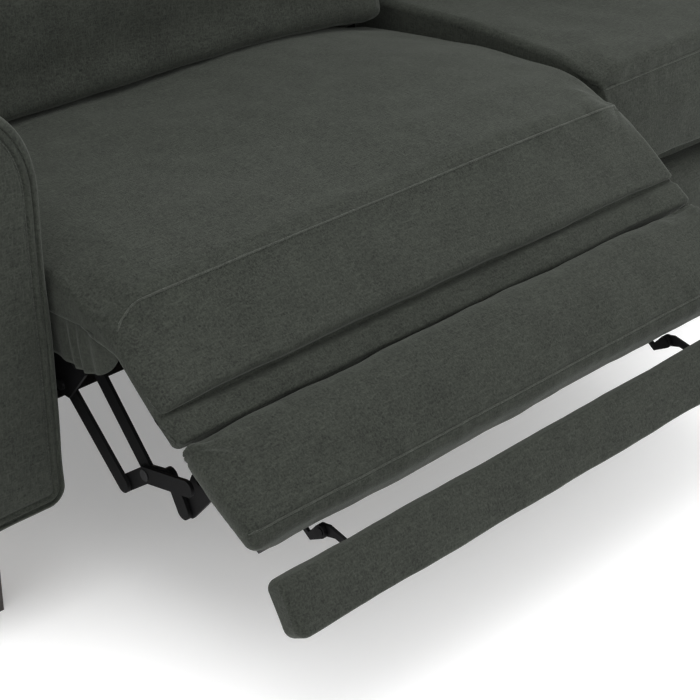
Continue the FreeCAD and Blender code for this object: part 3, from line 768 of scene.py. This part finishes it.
def cover_outline(seat):
    """Side outline of the seat cushion and chaise pad, as one cover, at any x."""
    pad_low, pad_high = local_box(f"{seat.side}_chaise_pad", seat.seam, seat.tilt)
    pad_end, pad_back = -pad_low.z, pad_high.y
    seam_y, seam_z = seat.seam
    top_z = seat.high.z

    def outline(x):
        full = seat.crown(x)
        fall = seat.droop(x, "seam")
        edge = smooth(seat.from_ends(x) / 0.07)
        back_low = mix(0.034, pad_back - 0.001, edge)
        back_top = mix(0.030, pad_back - 0.002, edge)
        rise = 0.015 * smooth(seat.from_ends(x) / 0.05) + 0.001
        lip_rise = 0.010 * full
        top = top_z + 0.007
        edge_y, edge_z = seam_y + seat.seam_back, seam_z + rise + seat.seam_lift - fall
        lip = seat.on_footrest(seat.lip_down, -lip_rise + fall * 0.45)
        recess = BAND_RECESS if seat.is_open else BAND_RECESS + 0.012
        groove = seat.on_footrest(seat.lip_down - 0.003, recess + LIP_FOLD - lip_rise * 0.6)
        band_start = seat.on_footrest(seat.lip_down + 0.009, recess - lip_rise * 0.5)
        band_end = seat.on_footrest(pad_end + 0.0025, recess - 0.003 * full)
        crease = 0.016 if seat.is_open else 0.014
        belly = seat.on_footrest(seat.lip_down * 0.5, -lip_rise - 0.0045 * full + fall * 0.5)
        under = (seam_y + mix(0.040, 0.093, edge), mix(seam_z - 0.040, seat.low.z + 0.001, edge))
        return rounded_loop([
            (seat.high.y, seat.low.z + 0.001, 0.022, 8),
            (seat.high.y, top - 0.016 - seat.droop(x, "rear"), 0.03, 10),
            (seat.high.y - 0.075, top - 0.004 - seat.droop(x, "rear"), 0.12, 18),
            (mix(seat.high.y, seam_y, 0.5), top + 0.002 - seat.droop(x, "middle"), 0.2, 24),
            (seam_y + 0.085, mix(top - seat.droop(x, "front"), edge_z, 0.10), 0.13, 10),
            (edge_y, edge_z, crease, 10),
            (*belly, 0.08, 10),
            (*lip, 0.009, 4),
            (*groove, 0.002, 4),
            (*band_start, 0.004, 6),
            (*band_end, 0.005, 6),
            (*seat.on_footrest(pad_end, back_low), 0.008, 14),
            (*seat.on_footrest(0.046, back_top), 0.012, 8),
            (*under, 0.02, 40),
        ])
    return outline


def bend_at_seam(piece, seat):
    """Bake a piece's placement into its mesh points."""
    hinge = Vector((0, *seat.seam))
    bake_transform(piece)


def make_seat_cover(seat):
    """One padded cover over the seat cushion and chaise pad, which bends at the cross seam."""
    cover = pad_along_x(f"{seat.side}_seat_cover", seat.low.x + 0.001, seat.high.x - 0.001,
                        0.010, cover_outline(seat), COVER)
    seam_y, seam_z = seat.seam
    away = Vector((0, -0.75, 0.66)) if seat.is_open else Vector((0, -0.70, 0.71))
    xs = seat.seam_xs(0.010)
    pad_way = seat.footrest_way(1, 0)
    target = [Vector((x, seam_y + seat.seam_back + 0.012, seam_z - 0.02))
              + pad_way * 0.034 * max(0.0, 1 - seat.from_arm(x) / 0.05) ** 2 for x in xs]
    cross_seam = surface_line(cover, [t + away * (2 * CAST_REACH) for t in target], -away)
    raise_surface(cover, soft_waves(0.0040, 0.17, 3.1), soft_waves(0.0012, 0.045, 7.7),
                  seam_line(cross_seam, depth=0.0030, width=0.004, pucker=0.0012, reach=0.022,
                            pitch=0.019))
    outer, inner = seat.low.x, seat.high.x
    if seat.side == "right":
        outer, inner = inner, outer
    for x, depth in ((outer, 0.0035), (inner, 0.0025)):
        raise_surface(cover, gathers((x, seam_y, seam_z), reach=0.06, depth=depth, folds=5,
                                     across=((1, 0, 0), pad_way)))
    welt = welt_along(f"{seat.side}_cross_seam", cover, cross_seam, away, lift=0.0001,
                      radius=0.0014)
    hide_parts(f"{seat.side}_seat_cushion", f"{seat.side}_chaise_pad")
    for piece in (cover, welt):
        bend_at_seam(piece, seat)


def make_bolster(seat):
    """Footrest bolster: full in the middle, with its ends drawn in and a seam at its foot."""
    side = seat.side
    low, high = local_box(f"{side}_footrest_bolster", seat.seam, seat.tilt)
    start, end, back = -high.z, -low.z, high.y

    def outline(x):
        full = seat.crown(x)
        edge = smooth(seat.from_ends(x) / 0.055)
        front = 0.004 - 0.016 * full
        return rounded_loop([
            (*seat.on_footrest(start - 0.001, front + 0.004), 0.020, 10),
            (*seat.on_footrest(mix(start, end, 0.5), front - 0.008 * full), 0.09, 12),
            (*seat.on_footrest(end + 0.002, -0.001), 0.016, 4),
            (*seat.on_footrest(end + 0.002, mix(0.026, back - 0.001, edge)), 0.012, 10),
            (*seat.on_footrest(mix(end, start, 0.55), mix(0.034, back, edge)), 0.02, 8),
            (*seat.on_footrest(start, mix(0.034, back, edge)), 0.012, 8),
        ])
    bolster = pad_along_x(f"{side}_bolster_cover", low.x + 0.001, high.x - 0.001, 0.009,
                          outline, COVER)
    stuff(bolster, ((-0.002, 0.002), (-0.007, 0.001), (-0.002, 0.001)), seat.tilt, voxel=0.006)
    away = seat.footrest_way(0.4, -1).normalized()
    seam_yz = seat.on_footrest(end - 0.013, 0.0)
    starts = [Vector((x, *seam_yz)) + away * CAST_REACH for x in seat.seam_xs(0.005)]
    foot = surface_line(bolster, starts, -away)
    raise_surface(bolster, soft_waves(0.0034, 0.13, 1.3), soft_waves(0.0012, 0.04, 9.2),
                  seam_line(foot, depth=0.002, width=0.0035, pucker=0.0012, reach=0.02,
                            pitch=0.017))
    down = seat.footrest_way(1, 0)
    for x in (low.x, high.x):
        corner = (x, *seat.on_footrest(start + 0.006, 0.004))
        raise_surface(bolster, gathers(corner, reach=0.06, depth=0.0032, folds=5,
                                       across=((1, 0, 0), down)))
    seam = welt_along(f"{side}_bolster_seam", bolster, foot, away, lift=0.0003, radius=0.0013)
    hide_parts(f"{side}_footrest_bolster")
    for piece in (bolster, seam):
        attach(piece, f"{side}_footrest")


# ---- boxed pads: an outline with a face on each side -----------------------------------

def faced_form(name, outline, depth, edge, front, back, place, finish):
    """A closed form between two faces. outline is (a, b); front and back are (inset, sink)
    pairs from the rim to the middle; place maps (a, b, depth) to the row frame."""
    low, high = outline.min(0), outline.max(0)

    def core(distance):
        return np.clip(shrunk(outline, distance), low + distance, high - distance)

    rings = []
    for inset, sink in reversed(front):
        rings.append((core(edge + inset), sink))
    turns = np.linspace(0, math.pi / 2, 6)
    for turn in turns:
        rings.append((shrunk(outline, edge * (1 - math.sin(turn))), edge * (1 - math.cos(turn))))
    count = max(2, round((depth - 2 * edge) / RING_STEP))
    for step in range(1, count):
        rings.append((outline, mix(edge, depth - edge, step / count)))
    for turn in reversed(turns):
        rings.append((shrunk(outline, edge * (1 - math.sin(turn))),
                      depth - edge * (1 - math.cos(turn))))
    for inset, sink in back:
        rings.append((core(edge + inset), depth - sink))
    return loft(name, [place(loop, level) for loop, level in rings], finish)


def upright(front_y):
    """A place for outlines drawn as (x, z), at each depth behind front_y."""
    def place(loop, level):
        return np.column_stack((loop[:, 0], np.full(len(loop), front_y + level), loop[:, 1]))
    return place


def on_body(front, pivot, angle):
    """A place for outlines drawn square to a turned body, at each depth behind its front."""
    def place(loop, level):
        spots = [turned((front + level, z), pivot, angle) for _, z in loop]
        return np.column_stack((loop[:, 0], np.array(spots)))
    return place


def make_flip_board(seat):
    """Flat padded flip board with softly rounded corners."""
    side = seat.side
    low, high = local_box(f"{side}_flip_board", seat.flip_pivot, seat.flip_turn)
    outline = rounded_loop([(low.x, low.z, 0.014, 120), (high.x, low.z, 0.014, 8),
                            (high.x, high.z, 0.010, 120), (low.x, high.z, 0.010, 8)])
    face = [(0.002, -0.0004), (0.006, -0.0012), (0.013, -0.0018), (0.021, -0.002)]
    board = faced_form(f"{side}_flip_cover", outline, high.y - low.y, 0.006, face, face,
                       on_body(low.y, seat.flip_pivot, seat.flip_turn), COVER)
    raise_surface(board, soft_waves(0.0018, 0.1, 5.0), soft_waves(0.0006, 0.03, 2.0))
    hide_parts(f"{side}_flip_board")
    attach(board, f"{side}_flip")


def arm_outline(low, high):
    """Front view of an arm: straight sides, a tall rounded top and small foot corners."""
    half = (high.x - low.x) / 2
    middle = (high.x + low.x) / 2
    spring = high.z - ARM_CROWN
    turns = np.linspace(0, math.pi, 61)
    top = np.column_stack((middle + half * np.cos(turns), spring + ARM_CROWN * np.sin(turns)))
    rise = np.linspace(low.z + ARM_FOOT, spring, 40)
    right = np.column_stack((np.full(39, high.x), rise[:-1]))
    left = np.column_stack((np.full(39, low.x), rise[::-1][1:]))
    arc = np.linspace(0, math.pi / 2, 8)[1:-1]
    foot_left = np.column_stack((low.x + ARM_FOOT - ARM_FOOT * np.cos(arc),
                                 low.z + ARM_FOOT - ARM_FOOT * np.sin(arc)))
    foot_right = np.column_stack((high.x - ARM_FOOT + ARM_FOOT * np.sin(arc),
                                  low.z + ARM_FOOT - ARM_FOOT * np.cos(arc)))
    base = np.column_stack((np.linspace(low.x + ARM_FOOT, high.x - ARM_FOOT, 20),
                            np.full(20, low.z)))
    return np.vstack((right, top, left, foot_left, base, foot_right))


def make_arm(side):
    """Arm cover: a felled welt frames the front panel; the rear panel has a plain seam."""
    low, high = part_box(f"{side}_arm_cover")
    outline = arm_outline(low, high)
    edge, stitch_inset, foot_gap = 0.007, 0.0125, 0.035
    welt = [(0.0, 0.0022), (0.0015, 0.0034), (0.003, 0.0016), (0.0055, 0.0006), (0.008, 0.0016),
            (0.0095, 0.0036), (0.012, 0.0016), (0.018, 0.0006), (0.030, 0.0002),
            (0.045, -0.0006), (0.060, -0.0012), (0.074, -0.0014)]
    plain = [(0.002, 0.0004), (0.010, 0.0002), (0.030, 0.0), (0.050, -0.001), (0.074, -0.001)]
    cover = faced_form(f"{side}_arm_upholstery", outline, high.y - low.y, edge, welt, plain,
                       upright(low.y), COVER)
    raise_surface(cover, soft_waves(0.0030, 0.19, 4.0), soft_waves(0.0007, 0.05, 6.0))
    row = shrunk(outline, edge + stitch_inset)
    visible = row[:, 1] > low.z + foot_gap
    first = int(np.argmax(visible & ~np.roll(visible, 1)))
    row = np.roll(row, -first, 0)[:int(visible.sum())]
    starts = [Vector((x, low.y - 0.05, z)) for x, z in row]
    stitches = stitch_rows(f"{side}_arm_topstitch",
                           [surface_line(cover, starts, (0, 1, 0), 0.0004)])
    for piece in (cover, stitches):
        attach(piece, "base")
    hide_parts(f"{side}_arm_cover")


def make_rear_panel():
    """Upholstered board across the back, below the two leaning backs."""
    low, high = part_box("rear_panel")
    outline = rounded_loop([(low.x, low.z, 0.006, 160), (high.x, low.z, 0.006, 14),
                            (high.x, high.z, 0.006, 160), (low.x, high.z, 0.006, 14)])
    face = [(0.003, 0.0), (0.020, -0.0006), (0.05, -0.001), (0.08, -0.001)]
    panel = faced_form("rear_panel_cover", outline, high.y - low.y, 0.005, face, face,
                       upright(low.y), COVER)
    raise_surface(panel, soft_waves(0.0014, 0.12, 8.0))
    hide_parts("rear_panel")
    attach(panel, "base")


# ---- backs -----------------------------------------------------------------------------

def make_back_cushion(seat):
    """Full back cushion with one cross channel, crowned and drawn in towards its corners."""
    side = seat.side
    low, high = local_box(f"{side}_back_cushion", seat.recline, -BACK_LEAN)
    channel = mix(low.z, high.z, 0.60)
    width = high.x - low.x

    def outline(x):
        share = (x - low.x) / width
        full = math.sin(math.pi * share) ** 0.55
        edge = smooth(min(x - low.x, high.x - x) / 0.09)
        front = low.y + 0.026 - 0.026 * full
        pull = 0.010 * (1 - edge)
        foot = low.y - 0.020 + 0.006 * (1 - full)
        fall = seat.droop(x, "rear")
        corners = [
            (high.y, low.z + 0.012, 0.02, 14),
            (mix(high.y, low.y, 0.6), low.z - 0.004 + pull * 0.5 - 0.4 * fall, 0.06, 8),
            (foot, low.z - 0.022 - 0.85 * fall, 0.018, 8),
            (front - 0.008, mix(low.z, channel, 0.30), 0.16, 12),
            (front + 0.008, mix(low.z, channel, 0.82), 0.10, 6),
            (front + 0.026, channel, 0.020, 6),
            (front + 0.010, mix(channel, high.z, 0.25), 0.08, 8),
            (front + 0.018, mix(channel, high.z, 0.60), 0.10, 8),
            (front + 0.055, high.z - 0.006 - pull, 0.055, 10),
            (high.y - 0.02, high.z - 0.010 - pull, 0.05, 8),
            (high.y, high.z - 0.07, 0.05, 30),
        ]
        loop = rounded_loop(corners)
        return np.array([turned(point, seat.recline, -BACK_LEAN) for point in loop])

    gap = 0.010
    low_x, high_x = (low.x, high.x - gap) if side == "left" else (low.x + gap, high.x)
    cushion = pad_along_x(f"{side}_back_pad", low_x, high_x, 0.020, outline, COVER)
    foot_point = np.array(turned((0, low.z), seat.recline, -BACK_LEAN))
    upward = np.array(turned((0, 1), (0, 0), -BACK_LEAN))

    def freedom(points):
        """The foot of the cushion rests on the seat, so only what is above it may swell."""
        return np.clip(((points[:, 1:] - foot_point) @ upward) / 0.11, 0.0, 1.0)

    stuff(cushion, ((-0.003, 0.003), (-0.024, 0.003), (-0.002, 0.016)), -BACK_LEAN, voxel=0.008,
          freedom=freedom)
    away = Vector((0, *turned((-1, 0), (0, 0), -BACK_LEAN)))
    channel_yz = turned((low.y - 0.05, channel), seat.recline, -BACK_LEAN)
    starts = [Vector((x, *channel_yz)) for x in np.arange(low.x + 0.02, high.x - 0.0199,
                                                          SEAM_STEP)]
    crease = surface_line(cushion, starts, -away)
    raise_surface(cushion, soft_waves(0.0060, 0.20, 2.2), soft_waves(0.0016, 0.06, 4.4),
                  seam_line(crease, depth=0.003, width=0.006, pucker=0.002, reach=0.035,
                            pitch=0.034))
    for x in (low.x + 0.01, high.x - 0.01):
        for level, depth in ((low.z + 0.02, 0.0045), (high.z - 0.03, 0.003)):
            corner = (x, *turned((low.y + 0.05, level), seat.recline, -BACK_LEAN))
            raise_surface(cushion, gathers(corner, reach=0.07, depth=depth, folds=4,
                                           across=((1, 0, 0), (0, *upward))))
    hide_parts(f"{side}_back_cushion")
    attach(cushion, f"{side}_back")


def make_back_cover(seat):
    """Outer cover over the back's shell and posts, with seams near its side edges."""
    side = seat.side
    low, high = local_box(f"{side}_back_shell", seat.recline, -BACK_LEAN)
    post_low, _ = local_box(f"{side}_back_posts", seat.recline, -BACK_LEAN)
    outline = rounded_loop([(low.x, low.z, 0.008, 120), (high.x, low.z, 0.008, 80),
                            (high.x, high.z + 0.004, 0.03, 120),
                            (low.x, high.z + 0.004, 0.03, 80)])
    front = post_low.y - 0.001
    edge = stitch_inset = 0.010
    inner = [(0.004, 0.0), (0.03, 0.0), (0.1, 0.0)]
    outer = [(0.002, 0.0012), (0.004, 0.0030), (0.006, 0.0012), (0.014, 0.0), (0.04, -0.002),
             (0.08, -0.004), (0.13, -0.0055), (0.2, -0.006), (0.28, -0.006)]
    cover = faced_form(f"{side}_back_outer_cover", outline, high.y - front, edge, inner, outer,
                       on_body(front, seat.recline, -BACK_LEAN), COVER)
    raise_surface(cover, soft_waves(0.0035, 0.22, 6.6), soft_waves(0.0007, 0.05, 1.1))
    row = shrunk(outline, edge + stitch_inset)
    away = Vector((0, *turned((1, 0), (0, 0), -BACK_LEAN)))
    starts = [Vector((x, *turned((high.y + 0.05, z), seat.recline, -BACK_LEAN)))
              for x, z in row]
    line = surface_line(cover, starts, -away, 0.0004)
    stitches = stitch_rows(f"{side}_back_topstitch", [line])
    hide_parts(f"{side}_back_shell")
    for piece in (cover, stitches):
        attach(piece, f"{side}_back")


# ---- cloth sheets, screws and glides ---------------------------------------------------

def cloth_grid(name, columns, rows, spot, finish):
    """A sheet of cloth whose points are spot(column, row)."""
    points = [spot(column, row) for column in range(columns + 1) for row in range(rows + 1)]
    faces = []
    for column in range(columns):
        for row in range(rows):
            a = column * (rows + 1) + row
            faces.append((a, a + 1, a + rows + 2, a + rows + 1))
    return mesh_piece(name, points, faces, finish)


def give_thickness(cloth, gauge):
    wall = cloth.modifiers.new("Cloth thickness", "SOLIDIFY")
    wall.thickness = gauge
    wall.offset = 0


def make_side_skirts(seat):
    """Cloth skirts that hang from the cover's side edges over the mechanism."""
    side = seat.side
    seam_y, seam_z = seat.seam
    front_y = seam_y + (-0.010 if seat.is_open else 0.036)
    rear_y = seat.high.y - 0.02
    hem_low = seat.low.z - 0.032
    columns, rows = 160, 14
    front_lift = 0.040 if seat.is_open else 0.014
    for number, (x, inward) in enumerate(((seat.low.x, 1), (seat.high.x, -1))):
        def spot(column, row):
            y = mix(front_y, rear_y, column / columns)
            from_front = y - front_y
            hem_z = hem_low + front_lift * math.exp(-from_front / 0.022)
            back_share = max(0.0, (y - seam_y - 0.04) / (seat.high.y - seam_y - 0.04))
            top_z = mix(seam_z - 0.024, seat.low.z + 0.017, back_share)
            share = row / rows
            fold = math.sin(y * 230 + 2 * math.sin(y * 60)) * 0.0022
            fold += math.sin(y * 71 + 1.3) * 0.0020
            fade = smooth(share * 2) * (0.55 + 0.45 * math.exp(-from_front / 0.12))
            return (x + inward * (0.006 + 0.006 * share ** 2 + fold * fade), y,
                    mix(top_z, hem_z, share))

        skirt = cloth_grid(f"{side}_side_skirt_{number + 1}", columns, rows, spot, COVER)
        give_thickness(skirt, SKIRT_GAUGE)
        if seat.is_open:
            bend_at_seam(skirt, seat)
        else:
            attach(skirt, f"{side}_seat")


def make_tuck_flap(seat):
    """Cloth tucked in between the seat's rear edge and the foot of its back cushion."""
    side = seat.side
    line = [(seat.high.y - 0.030, seat.high.z - 0.014), (seat.high.y + 0.006, seat.high.z - 0.028),
            (seat.high.y + 0.014, seat.high.z - 0.050), (seat.high.y + 0.028, seat.high.z - 0.056)]
    line += [turned(point, seat.recline, -BACK_LEAN)
             for point in ((-0.122, 0.098), (-0.106, 0.135))]
    fine = [mix(np.array(line[k]), np.array(line[k + 1]), share)
            for k in range(len(line) - 1) for share in np.linspace(0, 1, 8, endpoint=False)]
    fine.append(np.array(line[-1]))
    for _ in range(6):
        inner = [(fine[k - 1] + 2 * fine[k] + fine[k + 1]) / 4 for k in range(1, len(fine) - 1)]
        fine = [fine[0]] + inner + [fine[-1]]
    columns = 90
    low_x, high_x = seat.low.x + 0.005, seat.high.x - 0.005

    def spot(column, row):
        x = mix(low_x, high_x, column / columns)
        ripple = 0.0022 * math.sin(x * 41 + 2 * math.sin(x * 13))
        y, z = fine[row]
        return x, y, z + ripple * math.sin(math.pi * row / (len(fine) - 1))

    flap = cloth_grid(f"{side}_tuck_flap", columns, len(fine) - 1, spot, COVER)
    give_thickness(flap, FLAP_GAUGE)
    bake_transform(flap)


def make_dust_cloth():
    """Black lining cloth tacked under the base rails, sagging a little between them."""
    low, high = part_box("base_rails")
    inset = 0.004
    width, depth = high.x - low.x - 2 * inset, high.y - low.y - 2 * inset
    columns, rows = 96, 24

    def spot(column, row):
        across, back = column / columns, row / rows
        sag = 0.007 * abs(math.sin(across * math.tau)) * math.sin(back * math.pi)
        return (low.x + inset + width * across, low.y + inset + depth * back,
                low.z - 0.0012 - sag)

    cloth = cloth_grid("base_dust_cloth", columns, rows, spot, LINING_AND_GAP_SHADE)
    give_thickness(cloth, LINING_GAUGE)
    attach(cloth, "base")


def make_screws(seat):
    """Hexagon screws in the steel plates and brackets."""
    side = seat.side
    low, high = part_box(f"{side}_mechanism_plates")
    rail_low, rail_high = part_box(f"{side}_seat_side_rails")
    level = mix(rail_low.z, rail_high.z, 0.35)
    places, facing = [], []
    for y in (low.y + 0.13, low.y + 0.26, high.y - 0.045):
        for x, outward in ((low.x, -1), (high.x, 1)):
            places.append((x + outward * 0.001, y, level))
            facing.append((outward, 0, 0))
    screws = screw_heads(f"{side}_plate_screws", places, facing)
    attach(screws, f"{side}_seat")


def make_glides():
    """Thin glides under the feet of the legs."""
    points = np.array([v.co for v in frame["nodes"]["legs"].data.vertices])
    groups = []
    leg_spread = 0.08
    for foot in points[points[:, 2] < FLOOR_LEVEL]:
        for group in groups:
            if max(abs(group[0][:2] - foot[:2])) < leg_spread:
                group.append(foot)
                break
        else:
            groups.append([foot])
    for number, group in enumerate(groups, start=1):
        spots = np.array(group)
        centre = spots.mean(0)
        reach = (spots[:, 0].max() - spots[:, 0].min()) / 2 - 0.004
        turns = np.linspace(0, math.tau, 28, endpoint=False)
        rings = []
        for radius, z in ((reach * 0.9, -0.0004), (reach, 0.0004), (reach, 0.0030),
                          (reach * 0.9, 0.0034)):
            rings.append(np.column_stack((centre[0] + radius * np.cos(turns),
                                          centre[1] + radius * np.sin(turns),
                                          np.full(len(turns), z))))
        glide = loft(f"leg_glide_{number}", rings, RUBBER)
        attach(glide, "base")


# ---- stage -----------------------------------------------------------------------------

def make_stage():
    """Pale floor that glows faintly, painted light that lifts the shade under the sofa, a white
    world with three soft lights, and the camera.
    """
    glowing_floor = Finish("studio_floor", 0.75)
    glowing_floor.colour(glowing_floor.grain((2,) * 3, detail=3),
                 ((0.3, (0.93, 0.93, 0.93)), (0.7, (0.95, 0.95, 0.95))))
    # The floor glows though it is no lamp: painted light that lifts the shadows on the floor and
    # the shade under the sofa.
    glowing_floor.shader.inputs["Emission Color"].default_value = (1, 1, 1, 1)
    glowing_floor.shader.inputs["Emission Strength"].default_value = 0.2
    floor = mesh_piece("studio_floor", [(-12, -12, 0), (12, -12, 0), (12, 12, 0), (-12, 12, 0)],
                       [(0, 1, 2, 3)], glowing_floor.material)
    world = bpy.data.worlds.new("studio")
    world.use_nodes = True
    sky = world.node_tree.nodes["Background"]
    sky.inputs["Color"].default_value = (1, 1, 1, 1)
    sky.inputs["Strength"].default_value = 1.12
    bpy.context.scene.world = world
    for name, place, size, power in (("key_light", (-1.2, -0.6, 4.4), 3.6, 120),
                                     ("fill_light", (2.4, -3.4, 1.2), 2.6, 30),
                                     ("rear_light", (0.0, 3.2, 3.0), 2.6, 50)):
        lamp = bpy.data.lights.new(name, "AREA")
        lamp.size = size
        lamp.energy = power
        light = bpy.data.objects.new(name, lamp)
        bpy.context.scene.collection.objects.link(light)
        light.location = place
        aim = Vector((0, 0, 0.35)) - Vector(place)
        light.rotation_euler = aim.to_track_quat("-Z", "Y").to_euler()
    lens = bpy.data.cameras.new("camera")
    lens.lens = 92.571
    lens.sensor_width = 36
    lens.clip_end = 60
    camera = bpy.data.objects.new("camera", lens)
    bpy.context.scene.collection.objects.link(camera)
    camera.location = (-1.7814, -1.6272, 1.3337)
    camera.rotation_euler = (math.radians(59.744), 0, math.radians(-43.317))
    bpy.context.scene.camera = camera
    bpy.context.scene.view_settings.view_transform = "Standard"


finish_cad_nodes()
make_stage()
for seat_side in SIDES:
    seat_here = Seat(seat_side)
    make_seat_cover(seat_here)
    make_bolster(seat_here)
    make_flip_board(seat_here)
    make_back_cushion(seat_here)
    make_back_cover(seat_here)
    make_side_skirts(seat_here)
    make_tuck_flap(seat_here)
    make_screws(seat_here)
    make_arm(seat_side)
make_rear_panel()
make_dust_cloth()
make_glides()
